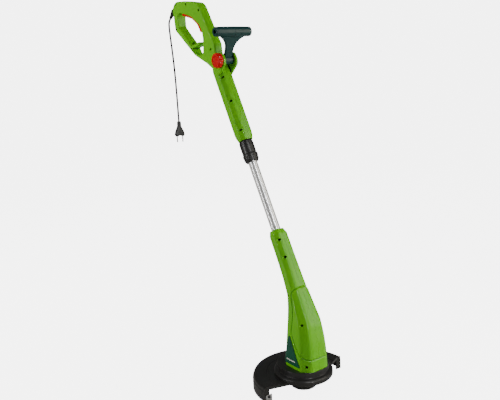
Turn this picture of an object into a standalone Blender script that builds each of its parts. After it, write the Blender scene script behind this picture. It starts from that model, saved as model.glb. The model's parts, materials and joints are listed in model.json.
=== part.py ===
"""Electric string trimmer: a D-handle with a trigger, a telescopic shaft and a motor head with a half guard.

The origin is the middle of the rear handle's top bar, where the hand holds it. +X points forward, away
from the user, +Y to the user's left and +Z up, along the spool's axis. All sizes are in metres.
"""
import math

import bmesh
import bpy
import numpy as np
from mathutils import Matrix, Vector

# ---------------------------------------------------------------- fits and walls
TOUCH_GAP = 0.0003          # between two pieces that rest on each other
RUN_GAP = 0.0005            # round a piece that turns or slides
WALL = 0.0028               # moulded shells

# ---------------------------------------------------------------- where the frames stand
SHAFT_LEAN = math.radians(27.5)
SHAFT_X, SHAFT_Z = 0.310, -0.517        # a point on the shaft's axis, stations are measured up from it
HEAD_X, HEAD_Z = 0.462, -1.012          # spool axis and the top of the guard's plate
PIVOT_STATION, PIVOT_OUT = 0.384, 0.043  # front handle's pivot: up the shaft, and forward of its axis
BAR_LEAN = math.radians(23.8)           # front handle, from upright

# ---------------------------------------------------------------- shaft
TUBE_R = 0.0130
TUBE_WALL = 0.0012
TUBE_TOP = 0.172
TUBE_BOTTOM = -0.200
SLIDE = 0.190               # how far the tube pushes up into the handle
SLEEVE_BOTTOM = 0.150       # lower end of the upper housing
SLEEVE_TOP = 0.400
BUSH_WALL = 0.0035
BORE_R = TUBE_R + BUSH_WALL
SLEEVE_DEEP, SLEEVE_WIDE = BORE_R + 0.0050, BORE_R + 0.0075     # half sizes of the sleeve round its bore
SLEEVE_FORWARD = 0.002      # the sleeve's middle lies forward of the tube's
COLLAR_BOTTOM = 0.085
COLLAR_R = BORE_R + 0.0043
BUSH_TOP = 0.165

# ---------------------------------------------------------------- rear handle
GRIP_HALF = 0.0150          # half the handle's width
GRIP_ROUND = 0.0050
POCKET_HALF = 0.0116        # half width of the space inside it
TRIGGER_HALF = 0.0080
TRIGGER_PIVOT = (-0.038, -0.001)
TRIGGER_PIN_R = 0.0025
SWITCH_X = 0.020
PLUNGER_R = 0.0024

# ---------------------------------------------------------------- front handle
EAR_R = 0.0184
EAR_INNER, EAR_OUTER = 0.0165, 0.0252
BAR_RISE = 0.084            # pivot to the middle of the crossbar
BAR_HALF = 0.060
BAR_R = 0.0142
BARREL_R = 0.0120
WEB_THICK = 0.011
BOLT_R = 0.0040
KNOB_R = 0.0212
KNOB_THICK = 0.0150

# ---------------------------------------------------------------- head
GUARD_R = 0.142
GUARD_WALL = 0.0030
SKIRT = 0.040
RING_TOP = 0.0295
HUB_HOLE_R = 0.046
MOUNT_HOLE_R = 0.030        # in the top of the guard's base, for the motor's mount
HOUSING_BOTTOM = 0.030      # green housing's lower edge, above the guard's plate
SPOOL_R = 0.042
SPOOL_BOTTOM = -0.041
MOTOR_R = 0.030
RING_R = MOTOR_R + 0.052     # the guard's base reaches past the housing round the motor
MOTOR_BOTTOM, MOTOR_TOP = 0.047, 0.122
ARMATURE_R = 0.0030

# ---------------------------------------------------------------- screws and cord
HEAD_R, HEAD_H = 0.0034, 0.0024
SHANK_R = 0.0014
SCREW_SEAT = -0.0076        # all heads seat at this depth from the joint between the halves
SCREW_END = 0.0060
BOSS_R = 0.0050
PARTING = 1.0               # size of the blocks that take the other half away
CORD_R = 0.0030
RELIEF_LENGTH = 0.036       # outside the handle
RELIEF_INSIDE = 0.006
RELIEF_NECK_R = 0.0055
RELIEF_ROOT_R, RELIEF_TIP_R = 0.0078, 0.0048
PLUG_TURN = math.radians(80)
PIN_SPACING = 0.019
PIN_R = 0.0020

# the cord's route, from the strain relief's tip down to the plug, in the plane Y = 0
CORD_ROUTE = [(-0.1300, -0.0180), (-0.1347, -0.0212), (-0.1388, -0.0257), (-0.1414, -0.0313),
              (-0.1426, -0.0380), (-0.1424, -0.0500), (-0.1405, -0.0680), (-0.1379, -0.0900),
              (-0.1347, -0.1150), (-0.1316, -0.1420), (-0.1290, -0.1700), (-0.1271, -0.2000),
              (-0.1259, -0.2300), (-0.1251, -0.2600), (-0.1246, -0.2900), (-0.1242, -0.3200),
              (-0.1240, -0.3450)]

SHAFT_UP = Vector((-math.sin(SHAFT_LEAN), 0, math.cos(SHAFT_LEAN)))
SHAFT_OUT = Vector((math.cos(SHAFT_LEAN), 0, math.sin(SHAFT_LEAN)))
SHAFT_ORIGIN = Vector((SHAFT_X, 0, SHAFT_Z))


def on_shaft(station, out):
    """World X and Z of a point a station up the shaft and a distance forward of its axis."""
    point = SHAFT_ORIGIN + station * SHAFT_UP + out * SHAFT_OUT
    return point.x, point.z


# ================================================================ scene, materials, frames
for old in list(bpy.data.objects):
    bpy.data.objects.remove(old, do_unlink=True)

PARTS = bpy.data.collections.new("string_trimmer")
CUTTERS = bpy.data.collections.new("cutters")
bpy.context.scene.collection.children.link(PARTS)
bpy.context.scene.collection.children.link(CUTTERS)


def material(name, color, roughness, metallic=0.0):
    mat = bpy.data.materials.new(name)
    mat.use_nodes = True
    shader = mat.node_tree.nodes["Principled BSDF"]
    shader.inputs["Base Color"].default_value = (*color, 1)
    shader.inputs["Roughness"].default_value = roughness
    shader.inputs["Metallic"].default_value = metallic
    return mat


GREEN = material("lime_plastic", (0.21, 0.72, 0.0), 0.28)
TEAL = material("teal_plastic", (0.0, 0.045, 0.045), 0.35)
RED = material("red_plastic", (0.62, 0.0, 0.01), 0.3)
BLACK = material("black_plastic", (0.012, 0.012, 0.012), 0.45)
ALUMINIUM = material("aluminium", (0.85, 0.86, 0.88), 0.25, 1.0)
STEEL = material("steel", (0.5, 0.5, 0.52), 0.3, 1.0)
COPPER = material("copper", (0.72, 0.32, 0.14), 0.35, 1.0)
CARBON = material("carbon", (0.02, 0.02, 0.02), 0.7)
RUBBER = material("rubber", (0.01, 0.01, 0.01), 0.6)
NYLON = material("nylon", (0.8, 0.35, 0.02), 0.4)


def frame(name, location, lean=0.0):
    """An empty that pieces are placed by; lean turns it about Y."""
    empty = bpy.data.objects.new(name, None)
    empty.location = location
    empty.rotation_euler = (0, lean, 0)
    PARTS.objects.link(empty)
    return empty


SHAFT = frame("shaft_frame", SHAFT_ORIGIN, -SHAFT_LEAN)
HEAD = frame("head_frame", (HEAD_X, 0, HEAD_Z))
PIVOT_XZ = on_shaft(PIVOT_STATION, PIVOT_OUT)
PIVOT = frame("front_handle_pivot", (PIVOT_XZ[0], 0, PIVOT_XZ[1]), BAR_LEAN)
TRIGGER_FRAME = frame("trigger_pivot", (TRIGGER_PIVOT[0], 0, TRIGGER_PIVOT[1]))
PLUG = frame("plug_frame", (CORD_ROUTE[-1][0], 0, CORD_ROUTE[-1][1]))
PLUG.rotation_euler = (0, 0, PLUG_TURN)

ALONG_Y = (math.pi / 2, 0, 0)           # turns a piece made along Z so that it runs along Y


# ================================================================ helpers
def add(name, mesh, mat=None, parent=None, location=(0, 0, 0), rotation=(0, 0, 0)):
    """A named object of the part, or a hidden cutter where no material is given."""
    obj = bpy.data.objects.new(name, mesh)
    obj.location = location
    obj.rotation_euler = rotation
    obj.parent = parent
    if mat is None:
        CUTTERS.objects.link(obj)
        obj.hide_render = True
        obj.display_type = "WIRE"
    else:
        PARTS.objects.link(obj)
        if not obj.data.materials:
            obj.data.materials.append(mat)
    return obj


def mesh_from(name, bm):
    bmesh.ops.recalc_face_normals(bm, faces=bm.faces)
    mesh = bpy.data.meshes.new(name)
    bm.to_mesh(mesh)
    bm.free()
    mesh.shade_smooth()
    mesh.set_sharp_from_angle(angle=math.radians(35))
    return mesh


def rod(name, radius, low, high, mat=None, sides=16, **place):
    """A cylinder along its own Z from low to high."""
    bm = bmesh.new()
    middle = Matrix.Translation((0, 0, (low + high) / 2))
    bmesh.ops.create_cone(bm, cap_ends=True, segments=sides, radius1=radius, radius2=radius,
                          depth=high - low, matrix=middle)
    return add(name, mesh_from(name, bm), mat, **place)


def rods(name, radius, low, high, places, sides=8):
    """A cutter of several rods along Y, one at each (x, z)."""
    bm = bmesh.new()
    turn = Matrix.Rotation(math.pi / 2, 4, "X")
    for x, z in places:
        move = Matrix.Translation((x, (low + high) / 2, z))
        bmesh.ops.create_cone(bm, cap_ends=True, segments=sides, radius1=radius, radius2=radius,
                              depth=high - low, matrix=move @ turn)
    return add(name, mesh_from(name, bm))


def block(name, size, centre, mat=None, **place):
    bm = bmesh.new()
    shape = Matrix.Translation(centre) @ Matrix.Diagonal((*size, 1))
    bmesh.ops.create_cube(bm, size=1, matrix=shape)
    return add(name, mesh_from(name, bm), mat, **place)


def turned(name, profile, mat=None, steps=24, **place):
    """A profile of (radius, height), listed down its outer side, turned round Z and closed."""
    bm = bmesh.new()
    verts = [bm.verts.new((r, 0, z)) for r, z in profile]
    for low, high in zip(verts, verts[1:]):
        bm.edges.new((low, high))
    if profile[0][0] > 0:
        bm.edges.new((verts[-1], verts[0]))
    mesh = bpy.data.meshes.new(name)
    bm.to_mesh(mesh)
    bm.free()
    obj = add(name, mesh, mat, **place)
    screw = obj.modifiers.new("turn", "SCREW")
    screw.steps = steps
    screw.render_steps = steps
    screw.use_merge_vertices = True
    screw.merge_threshold = 0.00005
    screw.use_smooth_shade = False
    return obj


def rounded(corners, turn=26):
    """An outline through (x, y, radius) corners, each rounded by an arc of one point per `turn` degrees."""
    points = []
    count = len(corners)
    for i, (x, y, radius) in enumerate(corners):
        here = Vector((x, y))
        to_last = (Vector(corners[i - 1][:2]) - here).normalized()
        to_next = (Vector(corners[(i + 1) % count][:2]) - here).normalized()
        opening = to_last.angle(to_next)
        if radius == 0 or abs(opening - math.pi) < 0.01:
            points.append(here)
            continue
        reach = radius / math.tan(opening / 2)
        centre = here + (to_last + to_next).normalized() * radius / math.sin(opening / 2)
        start = here + to_last * reach - centre
        sweep = start.angle_signed(here + to_next * reach - centre)
        steps = max(2, round(abs(math.degrees(sweep)) / turn))
        for k in range(steps + 1):
            angle = -sweep * k / steps
            points.append(centre + Matrix.Rotation(angle, 2) @ start)
    return points


def slab(name, outlines, thick, mat=None, edge=0.0, **place):
    """Flat outlines in the piece's XY plane, holes among them, filled and given a thickness about it."""
    curve = bpy.data.curves.new(name, "CURVE")
    curve.dimensions = "2D"
    curve.fill_mode = "BOTH"
    curve.extrude = thick / 2 - edge
    curve.bevel_depth = edge
    curve.bevel_resolution = 1
    curve.offset = -edge
    for outline in outlines:
        spline = curve.splines.new("POLY")
        spline.points.add(len(outline) - 1)
        for point, (x, y) in zip(spline.points, outline):
            point.co = (x, y, 0, 1)
        spline.use_cyclic_u = True
    return solid_from_curve(name, curve, mat, **place)


def solid_from_curve(name, curve, mat, **place):
    """The curve's evaluated mesh with its caps welded, as an object of its own."""
    holder = bpy.data.objects.new(name + "_curve", curve)
    CUTTERS.objects.link(holder)
    bpy.context.view_layer.update()
    evaluated = holder.evaluated_get(bpy.context.evaluated_depsgraph_get())
    mesh = bpy.data.meshes.new_from_object(evaluated)
    bpy.data.objects.remove(holder, do_unlink=True)
    bm = bmesh.new()
    bm.from_mesh(mesh)
    bmesh.ops.remove_doubles(bm, verts=bm.verts, dist=0.00001)
    bmesh.ops.dissolve_degenerate(bm, edges=bm.edges, dist=0.000005)
    mesh.materials.clear()
    return add(name, mesh_from(name, bm), mat, **place)


def wire(name, points, radius, mat, resolution=2, **place):
    """A round wire or cord through the points."""
    curve = bpy.data.curves.new(name, "CURVE")
    curve.dimensions = "3D"
    curve.bevel_depth = radius
    curve.bevel_resolution = resolution
    curve.use_fill_caps = True
    spline = curve.splines.new("POLY")
    spline.points.add(len(points) - 1)
    for point, place_of in zip(spline.points, points):
        point.co = (*place_of, 1)
    return add(name, curve, mat, **place)


def cut(obj, other, operation="DIFFERENCE", solver="EXACT"):
    boolean = obj.modifiers.new(operation.lower(), "BOOLEAN")
    boolean.operation = operation
    boolean.solver = solver
    boolean.object = other
    return obj


def smooth_path(route, spacing):
    """Points an even spacing apart on a smooth curve through the route's points."""
    route = np.array(route)
    ends = np.vstack([2 * route[0] - route[1], route, 2 * route[-1] - route[-2]])
    fine = []
    for a, b, c, d in zip(ends, ends[1:], ends[2:], ends[3:]):
        t = np.linspace(0, 1, 20, endpoint=False)[:, None]
        fine.append(0.5 * (2 * b + (c - a) * t + (2 * a - 5 * b + 4 * c - d) * t**2
                           + (3 * b - a - 3 * c + d) * t**3))
    fine = np.vstack([*fine, route[-1:]])
    along = np.concatenate([[0], np.cumsum(np.linalg.norm(np.diff(fine, axis=0), axis=1))])
    even = np.linspace(0, along[-1], round(along[-1] / spacing) + 1)
    return np.column_stack([np.interp(even, along, fine[:, k]) for k in range(fine.shape[1])])


def loft(name, sections, mat=None, extra=0.0, half=0, around=24, power=3.0, **place):
    """Rounded-square sections, each (rear point, front point, half width), joined in order.

    A point at angle a lies half the depth times cos(a)^(2/power) forward of the section's middle and
    the half width times sin(a)^(2/power) to the side. half of -1 or +1 makes one side only, left open and
    run just past the middle, so that a cut along the middle leaves clean faces.
    """
    span = around // 2 + 1 if half else around
    angles = [math.tau * k / around for k in range(span)]
    bm = bmesh.new()
    rings = []
    for rear, front, half_width in sections:
        rear, front = Vector((rear[0], 0, rear[1])), Vector((front[0], 0, front[1]))
        middle, forward = (rear + front) / 2, (front - rear).normalized()
        half_depth = (front - rear).length / 2 + extra
        ring = []
        for angle in angles:
            depth = math.copysign(abs(math.cos(angle)) ** (2 / power), math.cos(angle)) * half_depth
            side = abs(math.sin(angle)) ** (2 / power) * math.copysign(1, math.sin(angle))
            point = middle + forward * depth
            point.y = side * (half_width + extra) * (half or 1)
            if half:
                at_middle = abs(point.y) < TOUCH_GAP
                point.y = half * (-TOUCH_GAP if at_middle else abs(point.y))
            ring.append(bm.verts.new(point))
        rings.append(ring)
    for low, high in zip(rings, rings[1:]):
        for k in range(span - 1 if half else span):
            j = (k + 1) % span
            bm.faces.new((low[k], low[j], high[j], high[k]))
    if not half:
        bm.faces.new(rings[0])
        bm.faces.new(rings[-1])
    return add(name, mesh_from(name, bm), mat, **place)


# ================================================================ screws
def screw(name, x, z, mat=STEEL):
    """A pan-head screw along Y, put in from the right side; its head seats in a counterbore."""
    profile = [(0, -SCREW_SEAT + HEAD_H), (HEAD_R * 0.8, -SCREW_SEAT + HEAD_H),
               (HEAD_R, -SCREW_SEAT + HEAD_H * 0.6), (HEAD_R, -SCREW_SEAT), (SHANK_R, -SCREW_SEAT),
               (SHANK_R, -SCREW_END + SHANK_R), (0, -SCREW_END)]
    return turned(name, profile, mat, steps=8, location=(x, 0, z), rotation=ALONG_Y)


def screw_bores(name, places):
    """Stepped holes for the screws: a counterbore down to the seat, then the shank's hole."""
    outside = 0.060
    head = rods(name + "_heads", HEAD_R + RUN_GAP, -outside, SCREW_SEAT + TOUCH_GAP, places)
    shank = rods(name + "_shanks", SHANK_R + TOUCH_GAP, SCREW_SEAT - 0.002, SCREW_END + 0.001, places)
    return head, shank


HANDLE_SCREWS = {"front": (0.059, -0.009), "top": (-0.009, 0.013), "rear_top": (-0.070, 0.019),
                 "rear_low": (-0.073, -0.056), "hook": (0.008, -0.1195), "trunk": (0.112, -0.124)}
SLEEVE_SCREWS = {"upper": 0.343, "middle": 0.268, "lower": 0.178}
SLEEVE_SCREW_OUT = BORE_R + 0.0020      # the shanks pass just outside the bore
HOUSING_SCREWS = {"neck_top": on_shaft(-0.150, SLEEVE_SCREW_OUT),
                  "neck_low": on_shaft(-0.200, SLEEVE_SCREW_OUT),
                  "body_rear": (0.440, -0.786), "body_low": (0.441, -0.862), "body_front": (0.4997, -0.8545),
                  "base": (0.518, -0.967)}


# ================================================================ rear handle and sleeve
LOOP_OUTER = [(-0.094, 0.028, 0.026), (-0.022, 0.0245, 0.20), (0.056, 0.013, 0.038), (0.107, -0.071, 0.03),
              (0.131, -0.108, 0.014), (0.134, -0.134, 0.014), (*on_shaft(0.378, 0.012), 0.007),
              (*on_shaft(0.378, -0.012), 0.007), (0.084, -0.164, 0.02), (0.022, -0.139, 0.06),
              (-0.084, -0.059, 0.018)]
LOOP_INNER = [(-0.062, -0.006, 0.014), (-0.060, -0.050, 0.012), (0.010, -0.111, 0.010),
              (0.022, -0.131, 0.008), (0.048, -0.140, 0.010), (0.070, -0.134, 0.009), (0.073, -0.092, 0.02),
              (0.069, -0.070, 0.025), (0.057, -0.051, 0.025), (0.017, -0.025, 0.04), (-0.025, -0.013, 0.03)]
HOOK = [(-0.001, -0.1110, 0.0015), (0.048, -0.0995, 0.0040), (0.058, -0.1070, 0.0025),
        (0.050, -0.1078, 0.0025), (0.004, -0.1185, 0.0015)]
POCKET = [(0.126, -0.160, 0.002), (0.1295, -0.130, 0.010), (0.1265, -0.108, 0.011), (0.1035, -0.0695, 0.028),
          (0.054, 0.0097, 0.034), (-0.022, 0.0213, 0.18), (-0.0905, 0.0245, 0.023), (-0.0805, -0.056, 0.014),
          (-0.0655, -0.056, 0.004), (-0.0655, -0.002, 0.010), (-0.025, -0.0095, 0.03),
          (0.018, -0.0215, 0.04), (0.0595, -0.0485, 0.022), (0.0725, -0.069, 0.022), (0.0765, -0.092, 0.01),
          (0.0755, -0.130, 0.004), (0.100, -0.148, 0.004)]
TRIGGER_SLOT = [(-0.049, 0.006, 0), (-0.049, -0.022, 0), (0.009, -0.036, 0), (0.044, -0.052, 0),
                (0.056, -0.080, 0), (0.077, -0.076, 0), (0.074, -0.046, 0), (0.052, -0.018, 0),
                (0.010, -0.002, 0)]
CORD_SLOT_AT, CORD_SLOT_LEAN = (-0.006, -0.1075), math.radians(-35)
CORD_SLOT_SIZE = (0.020, 0.013, 0.050)


def upper_form(name):
    """The whole handle and sleeve as one solid, before it is parted down the middle and hollowed."""
    form = slab(name, [rounded(LOOP_OUTER), rounded(LOOP_INNER)], 2 * GRIP_HALF, edge=GRIP_ROUND,
                rotation=ALONG_Y)
    deep, wide = SLEEVE_DEEP, SLEEVE_WIDE
    stations = [(SLEEVE_BOTTOM, 0.80, 0.80), (SLEEVE_BOTTOM + 0.010, 0.90, 0.90),
                (SLEEVE_BOTTOM + 0.022, 1, 1), (SLEEVE_TOP - 0.030, 1, 1), (SLEEVE_TOP, 0.86, 0.62)]
    sections = []
    for station, part_deep, part_wide in stations:
        rear = on_shaft(station, SLEEVE_FORWARD - deep * part_deep)
        front = on_shaft(station, SLEEVE_FORWARD + deep * part_deep)
        sections.append((rear, front, wide * part_wide))
    cut(form, loft(name + "_sleeve", sections, around=24, power=3.4), "UNION")
    root, past = 0.004, PIVOT_OUT + EAR_R
    ear = [(*on_shaft(PIVOT_STATION - 0.034, root), 0.004),
           (*on_shaft(PIVOT_STATION - EAR_R, past), EAR_R * 0.999),
           (*on_shaft(PIVOT_STATION + EAR_R, past), EAR_R * 0.999),
           (*on_shaft(PIVOT_STATION + 0.034, root), 0.004)]
    thick = EAR_OUTER - EAR_INNER
    for side in (-1, 1):
        ears = slab(f"{name}_ear_{side}", [rounded(ear)], thick, edge=0.001,
                    location=(0, side * (EAR_INNER + EAR_OUTER) / 2, 0), rotation=ALONG_Y)
        cut(form, ears, "UNION")
    cut(form, slab(name + "_hook", [rounded(HOOK)], 2 * GRIP_HALF - 0.002, edge=0.001,
                   rotation=ALONG_Y), "UNION")
    return form


def upper_housings():
    sleeve_places = [on_shaft(station, SLEEVE_SCREW_OUT) for station in SLEEVE_SCREWS.values()]
    places = [*HANDLE_SCREWS.values(), *sleeve_places]
    pocket = slab("handle_pocket", [rounded(POCKET)], 2 * POCKET_HALF, rotation=ALONG_Y)
    bore = rod("tube_bore", BORE_R, SLEEVE_BOTTOM - 0.01, 0.386, sides=24, parent=SHAFT)
    channel = rod("lead_channel", 0.0075, 0.380, 0.425, parent=SHAFT)
    slot = slab("trigger_slot", [rounded(TRIGGER_SLOT)], 2 * (TRIGGER_HALF + RUN_GAP), rotation=ALONG_Y)
    cord_slot = block("cord_slot", CORD_SLOT_SIZE, (0, 0, 0),
                      location=(CORD_SLOT_AT[0], 0, CORD_SLOT_AT[1]), rotation=(0, -CORD_SLOT_LEAN, 0))
    bosses = rods("handle_bosses", BOSS_R, -POCKET_HALF - 0.001, POCKET_HALF + 0.001,
                  [HANDLE_SCREWS[key] for key in ("front", "top", "rear_top", "rear_low", "trunk")])
    heads, shanks = screw_bores("handle_bores", places)
    relief_hole = rod("relief_hole", RELIEF_NECK_R + TOUCH_GAP, -RELIEF_INSIDE - 0.004, 0.03,
                      parent=RELIEF)
    bolt_hole = rods("bolt_hole", BOLT_R + TOUCH_GAP, -0.05, 0.05, [PIVOT_XZ], sides=16)
    for name, side in (("upper_housing_right", -1), ("upper_housing_left", 1)):
        half = upper_form(name + "_form")
        half.name = name
        CUTTERS.objects.unlink(half)
        PARTS.objects.link(half)
        half.hide_render = False
        half.display_type = "TEXTURED"
        half.data.materials.append(GREEN)
        away = -side * (PARTING / 2 - TOUCH_GAP / 2)
        parting = block(name + "_parting", (PARTING, PARTING, PARTING), (0, away, 0))
        # the exact solver loses the whole half where the pocket meets the hook
        for cutter in (pocket, bore):
            cut(half, cutter, solver="MANIFOLD")
        cut(half, bosses, "UNION", solver="MANIFOLD")
        for cutter in (channel, slot, cord_slot, heads, shanks, relief_hole, bolt_hole, parting):
            cut(half, cutter, solver="MANIFOLD")
    for key, (x, z) in HANDLE_SCREWS.items():
        screw(f"handle_screw_{key}", x, z)
    for key, (x, z) in zip(SLEEVE_SCREWS, sleeve_places):
        screw(f"sleeve_screw_{key}", x, z)


# ================================================================ strain relief, cord and plug
CORD_POINTS = [Vector((x, 0, z)) for x, z in smooth_path(CORD_ROUTE, 4.5 * CORD_R)]
RELIEF_DIRECTION = (CORD_POINTS[1] - CORD_POINTS[0]).normalized()
RELIEF = frame("relief_frame", CORD_POINTS[0] - RELIEF_DIRECTION * (RELIEF_LENGTH + TOUCH_GAP),
               math.atan2(RELIEF_DIRECTION.x, RELIEF_DIRECTION.z))
PLUG_TOP = -TOUCH_GAP


def strain_relief():
    """A tapered sleeve with grooves, its neck held in the wall of the handle."""
    length = RELIEF_LENGTH
    profile = [(0, length), (RELIEF_TIP_R, length)]
    for k in range(4):
        at = length * (0.82 - 0.2 * k)
        radius = RELIEF_TIP_R + (RELIEF_ROOT_R - RELIEF_TIP_R) * (1 - at / length)
        profile += [(radius, at + 0.0022), (radius - 0.0009, at + 0.0012), (radius - 0.0009, at),
                    (radius, at - 0.0010)]
    profile += [(RELIEF_ROOT_R, 0.0045), (RELIEF_NECK_R, 0.0045), (RELIEF_NECK_R, -RELIEF_INSIDE),
                (0, -RELIEF_INSIDE)]
    turned("strain_relief", profile, RUBBER, steps=12, parent=RELIEF)


def cord_and_plug():
    wire("power_cord", CORD_POINTS, CORD_R, RUBBER)
    top = PLUG_TOP
    body = [(0.0052, top, 0), (0.0060, top - 0.0160, 0.004), (0.0140, top - 0.0330, 0.006),
            (0.0165, top - 0.0430, 0.004), (0.0135, top - 0.0490, 0.004), (0.0060, top - 0.0490, 0.004),
            (0, top - 0.0450, 0.006)]
    mirrored = [(-x, z, r) for x, z, r in reversed(body[:-1])]
    plug = slab("plug_body", [rounded([*body, *mirrored])], 0.0150, BLACK, edge=0.003, parent=PLUG,
                rotation=ALONG_Y)
    sleeve = turned("plug_sleeve", [(0, top), (0.0054, top), (0.0056, top - 0.003), (0.0048, top - 0.004),
                                    (0.0060, top - 0.022), (0, top - 0.022)], steps=16, parent=PLUG)
    cut(plug, sleeve, "UNION")
    for side, name in ((-1, "plug_pin_1"), (1, "plug_pin_2")):
        pin = [(0, top - 0.0493), (PIN_R * 0.9, top - 0.0493), (PIN_R, top - 0.0500), (PIN_R, top - 0.0670),
               (PIN_R * 0.6, top - 0.0680), (0, top - 0.0682)]
        turned(name, pin, STEEL, steps=12, parent=PLUG, location=(side * PIN_SPACING / 2, 0, 0))


# ================================================================ trigger and switch
TRIGGER = [(-0.048, 0.003, 0.004), (-0.046, -0.017, 0.005), (0.006, -0.0300, 0.03), (0.035, -0.0485, 0.02),
           (0.0505, -0.0725, 0.004), (0.064, -0.0725, 0.003), (0.062, -0.050, 0.01), (0.044, -0.030, 0.02),
           (0.010, -0.014, 0.03), (-0.034, 0.0065, 0.006)]
SWITCH_BOTTOM, SWITCH_TOP = -0.006, 0.009
SPRING_X = -0.024


def trigger_and_switch():
    x0, z0 = TRIGGER_PIVOT
    outline = [(x - x0, z - z0, r) for x, z, r in TRIGGER]
    lever = slab("trigger", [rounded(outline)], 2 * TRIGGER_HALF, RED, edge=0.002, parent=TRIGGER_FRAME,
                 rotation=ALONG_Y)
    hole = rod("trigger_bore", TRIGGER_PIN_R + TOUCH_GAP, -0.02, 0.02, parent=TRIGGER_FRAME,
               rotation=ALONG_Y)
    cut(lever, hole)
    reach = POCKET_HALF - TOUCH_GAP
    rod("trigger_pin", TRIGGER_PIN_R, -reach, reach, STEEL, parent=TRIGGER_FRAME, rotation=ALONG_Y)
    height = SWITCH_TOP - SWITCH_BOTTOM
    body = block("switch_body", (0.030, 0.016, height), (SWITCH_X + 0.004, 0, SWITCH_BOTTOM + height / 2),
                 BLACK)
    well = rod("plunger_well", PLUNGER_R + TOUCH_GAP, SWITCH_BOTTOM - 0.01, SWITCH_TOP - 0.002,
               location=(SWITCH_X, 0, 0))
    cut(body, well)
    rod("switch_plunger", PLUNGER_R, -0.0170, SWITCH_TOP - 0.0075, NYLON, location=(SWITCH_X, 0, 0))
    turns, per_turn, low, high = 4, 8, 0.0062, 0.0195
    angles = [math.tau * k / per_turn for k in range(turns * per_turn + 1)]
    coil = [(SPRING_X + 0.0032 * math.cos(a), 0.0032 * math.sin(a),
             low + (high - low) * a / (math.tau * turns)) for a in angles]
    wire("trigger_spring", coil, 0.0005, STEEL, resolution=1)


def switch_lead():
    """The lead inside the handle, from the switch down to the top of the tube's bore."""
    route = [(0.0418, 0.0005), (0.0458, -0.0050), (0.0495, -0.0130), (0.0570, -0.0195), (0.0680, -0.0300),
             (0.0810, -0.0500), (0.0900, -0.0740), (0.0935, -0.0980), (0.0970, -0.1220),
             (0.1065, -0.1400), on_shaft(0.405, 0), on_shaft(0.385, 0)]
    points = [(x, 0, z) for x, z in smooth_path(route, 0.010)]
    wire("switch_lead", points, 0.0024, RUBBER)


# ================================================================ front handle, its bolt and knob
ACROSS = (math.pi / 2, 0, math.pi / 2)      # lays an outline in the YZ plane, its thickness along X


def front_handle():
    """Crossbar, fan web and pivot barrel, moulded as one."""
    bar = []
    for k in range(9):
        across = BAR_HALF * (1 - k / 4)
        swell = 1 - 0.06 * (across / BAR_HALF) ** 2
        bar.append((BAR_R * swell, across))
    rim = 0.003
    profile = [(0, BAR_HALF), (BAR_R * 0.94 - rim, BAR_HALF), (BAR_R * 0.94, BAR_HALF - rim), *bar[1:-1],
               (BAR_R * 0.94, rim - BAR_HALF), (BAR_R * 0.94 - rim, -BAR_HALF), (0, -BAR_HALF)]
    handle = turned("front_handle", profile, TEAL, steps=24, parent=PIVOT, location=(0, 0, BAR_RISE),
                    rotation=ALONG_Y)
    waist = 0.0125
    side = [(waist, 0.0), (waist, 0.030), (waist + 0.0015, 0.040), (waist + 0.006, 0.051),
            (waist + 0.015, 0.0615), (waist + 0.028, 0.070), (BAR_HALF - 0.006, BAR_RISE - 0.009),
            (BAR_HALF - 0.006, BAR_RISE)]
    outline = [*side, *[(-y, z) for y, z in reversed(side)]]
    cut(handle, slab("front_handle_web", [outline], WEB_THICK, edge=0.002, parent=PIVOT, rotation=ACROSS),
        "UNION")
    reach = EAR_INNER - RUN_GAP
    cut(handle, rod("front_handle_barrel", BARREL_R, -reach, reach, sides=28, parent=PIVOT,
                    rotation=ALONG_Y), "UNION")
    cut(handle, rod("front_handle_bore", BOLT_R + TOUCH_GAP, -0.03, 0.03, parent=PIVOT, rotation=ALONG_Y))
    for way in (-1, 1):
        cut(handle, rod(f"bar_end_hole_{way}", 0.0062, BAR_HALF - 0.014, BAR_HALF + 0.01, sides=20,
                        parent=PIVOT, location=(0, 0, BAR_RISE),
                        rotation=(-way * math.pi / 2, 0, 0)))


def bolt_and_knob():
    """The bolt's hexagon head seats on the left ear; the knob screws onto its right end."""
    x, z = PIVOT_XZ
    head = 0.0075
    bolt = rod("pivot_bolt", BOLT_R, -EAR_OUTER - 0.010, EAR_OUTER + 0.002, STEEL, location=(x, 0, z),
               rotation=(-math.pi / 2, 0, 0))
    cut(bolt, rod("bolt_head", head, EAR_OUTER + TOUCH_GAP, EAR_OUTER + 0.0055, sides=6,
                  location=(x, 0, z), rotation=(-math.pi / 2, 0, 0)), "UNION")
    lobes, per_lobe = 12, 4
    outline = []
    for k in range(lobes * per_lobe):
        angle = math.tau * k / (lobes * per_lobe)
        radius = KNOB_R - 0.0007 * (1 - math.cos(lobes * angle))
        outline.append((radius * math.cos(angle), radius * math.sin(angle)))
    knob = slab("clamp_knob", [outline], KNOB_THICK, RED, edge=0.002,
                location=(x, -EAR_OUTER - TOUCH_GAP - KNOB_THICK / 2, z), rotation=ALONG_Y)
    cut(knob, rod("knob_bore", BOLT_R + TOUCH_GAP, -EAR_OUTER - 0.011, 0, location=(x, 0, z),
                  rotation=(-math.pi / 2, 0, 0)))


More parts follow.
